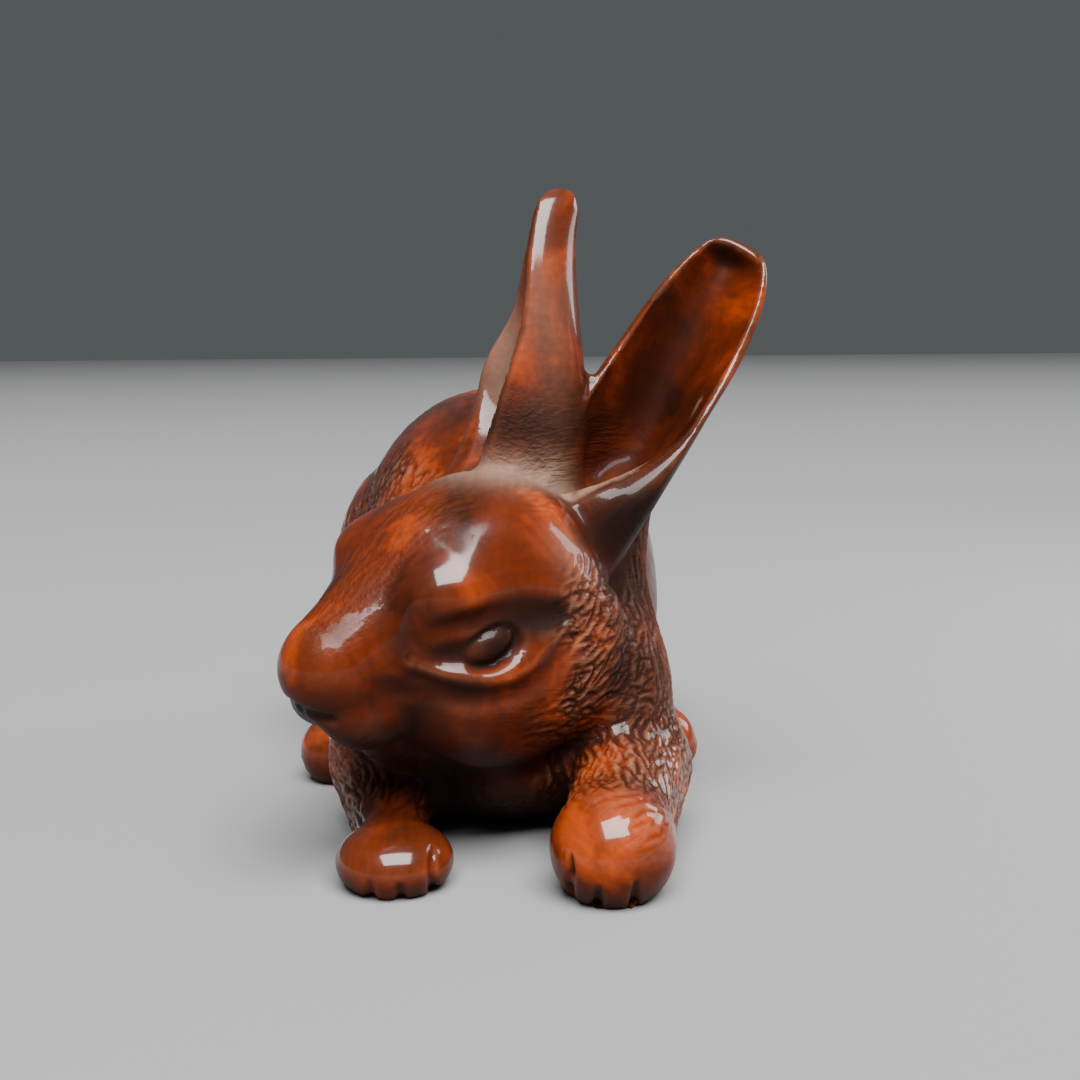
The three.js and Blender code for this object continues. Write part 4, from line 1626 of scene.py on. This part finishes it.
    def over(
        self,
        made: bpy.types.Material,
        below: bpy.types.NodeSocket,
        colour: Triple,
        mask: bpy.types.NodeSocket,
        most: float,
    ) -> bpy.types.NodeSocket:
        """Lays a colour over another.

        Args:
            made: the material.
            below: the colour below.
            colour: the colour on top.
            mask: where it lies.
            most: how strong it is where the mask is full.

        Returns:
            The socket with the result.
        """
        nodes, links = made.node_tree.nodes, made.node_tree.links
        limit = nodes.new("ShaderNodeMath")
        limit.operation = "MULTIPLY"
        limit.use_clamp = True
        limit.inputs[1].default_value = most
        links.new(mask, limit.inputs[0])
        mix = nodes.new("ShaderNodeMix")
        mix.data_type = "RGBA"
        mix.inputs["B"].default_value = (*colour, 1)
        links.new(limit.outputs["Value"], mix.inputs["Factor"])
        links.new(below, mix.inputs["A"])
        return mix.outputs["Result"]

    def duller(
        self, made: bpy.types.Material, rough: bpy.types.NodeSocket, mask: bpy.types.NodeSocket, most: float
    ) -> bpy.types.NodeSocket:
        """Makes the wood duller.

        Args:
            made: the material.
            rough: the roughness so far.
            mask: where it is duller.
            most: how far it goes towards the dull roughness where the mask is full.

        Returns:
            The socket with the result.
        """
        nodes, links = made.node_tree.nodes, made.node_tree.links
        share = nodes.new("ShaderNodeMapRange")
        share.inputs["To Max"].default_value = most
        links.new(mask, share.inputs["Value"])
        mix = nodes.new("ShaderNodeMix")
        mix.data_type = "FLOAT"
        mix.inputs["B"].default_value = self.dull
        links.new(share.outputs["Result"], mix.inputs["Factor"])
        links.new(rough, mix.inputs["A"])
        return mix.outputs["Result"]


# Floor, light and camera


@dataclass(frozen=True)
class Lamp:
    """A soft light, placed and aimed in the carving's frame."""

    name: str
    place: Triple  # mm
    aim: Triple  # mm
    size: Pair  # m
    watts: float

    def light(self) -> None:
        """Makes the light."""
        data = bpy.data.lights.new(self.name, "AREA")
        data.energy = self.watts
        data.shape = "RECTANGLE"
        data.size, data.size_y = self.size
        lamp = bpy.data.objects.new(self.name, data)
        bpy.context.scene.collection.objects.link(lamp)
        lamp.location = to_row(np.array(self.place))
        lamp.rotation_mode = "QUATERNION"
        way = Vector(np.array(self.aim) - np.array(self.place))
        lamp.rotation_quaternion = way.to_track_quat("-Z", "Y")


@dataclass
class Studio:
    """A plain pale floor, soft lights and a camera where the photograph was taken from."""

    eye: Triple = (-3.7, -164.0, 50.0)  # the camera, in the carving's frame, mm
    focal_pixels: float = 1500.0  # the focal length in pixels of a frame 1080 wide
    frame_pixels: int = 1080
    sensor: float = 36.0  # mm
    yaw: float = 2.9  # degrees towards +X
    pitch: float = 7.86  # degrees down
    roll: float = 0.4  # degrees
    clips: Pair = (0.005, 20.0)  # m: the nearest and the furthest that it shows
    floor_size: float = 6.0  # m
    floor_colour: Triple = (0.3, 0.3, 0.3)
    floor_roughness: float = 0.8
    sky: Triple = (0.66, 0.72, 0.77)
    sky_strength: float = 0.14
    lamps: tuple[Lamp, ...] = (
        Lamp("key", (180, -1280, 2180), (0, -20, 20), (2.2, 1.6), 200),
        Lamp("rim", (200, 90, 120), (0, -10, 30), (0.1, 0.1), 0.18),
    )

    def camera(self) -> None:
        """Makes the camera."""
        yaw, pitch, roll = (math.radians(a) for a in (self.yaw, self.pitch, self.roll))
        ahead = Vector((math.sin(yaw) * math.cos(pitch), math.cos(yaw) * math.cos(pitch), -math.sin(pitch)))
        level = Vector((math.cos(yaw), -math.sin(yaw), 0.0))
        upright = level.cross(ahead)
        right = level * math.cos(roll) - upright * math.sin(roll)
        up = upright * math.cos(roll) + level * math.sin(roll)
        turn = Matrix((right, up, -ahead)).transposed().to_4x4()
        data = bpy.data.cameras.new("camera")
        data.sensor_width = self.sensor
        data.lens = self.focal_pixels / self.frame_pixels * self.sensor
        data.clip_start, data.clip_end = self.clips
        camera = bpy.data.objects.new("camera", data)
        bpy.context.scene.collection.objects.link(camera)
        camera.matrix_world = Matrix.Translation(Vector(to_row(np.array(self.eye)))) @ turn
        bpy.context.scene.camera = camera

    def floor(self) -> None:
        """Makes the floor."""
        bpy.ops.object.select_all(action="DESELECT")
        bpy.ops.mesh.primitive_plane_add(size=self.floor_size, location=(0, 0, 0))
        floor = bpy.context.object
        floor.name = "floor"
        pale = bpy.data.materials.new("pale_floor")
        pale.use_nodes = True
        shader = pale.node_tree.nodes["Principled BSDF"]
        shader.inputs["Base Color"].default_value = (*self.floor_colour, 1)
        shader.inputs["Roughness"].default_value = self.floor_roughness
        floor.data.materials.append(pale)

    def lights(self) -> None:
        """Makes the lights and the surroundings."""
        world = bpy.data.worlds.new("studio")
        bpy.context.scene.world = world
        world.use_nodes = True
        sky = world.node_tree.nodes["Background"]
        sky.inputs["Color"].default_value = (*self.sky, 1)
        sky.inputs["Strength"].default_value = self.sky_strength
        for lamp in self.lamps:
            lamp.light()


def main() -> None:
    """Builds the piece and the studio."""
    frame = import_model()
    studio = Studio()
    studio.camera()
    rabbit = Skin(frame["nodes"]["rabbit"]).build()
    rabbit.data.materials.clear()
    rabbit.data.materials.append(Boxwood().material())
    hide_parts("rabbit")
    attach(rabbit, "root")
    log.info("%s has %d faces", rabbit.name, len(rabbit.data.polygons))
    studio.floor()
    studio.lights()


if __name__ == "__main__":
    main()
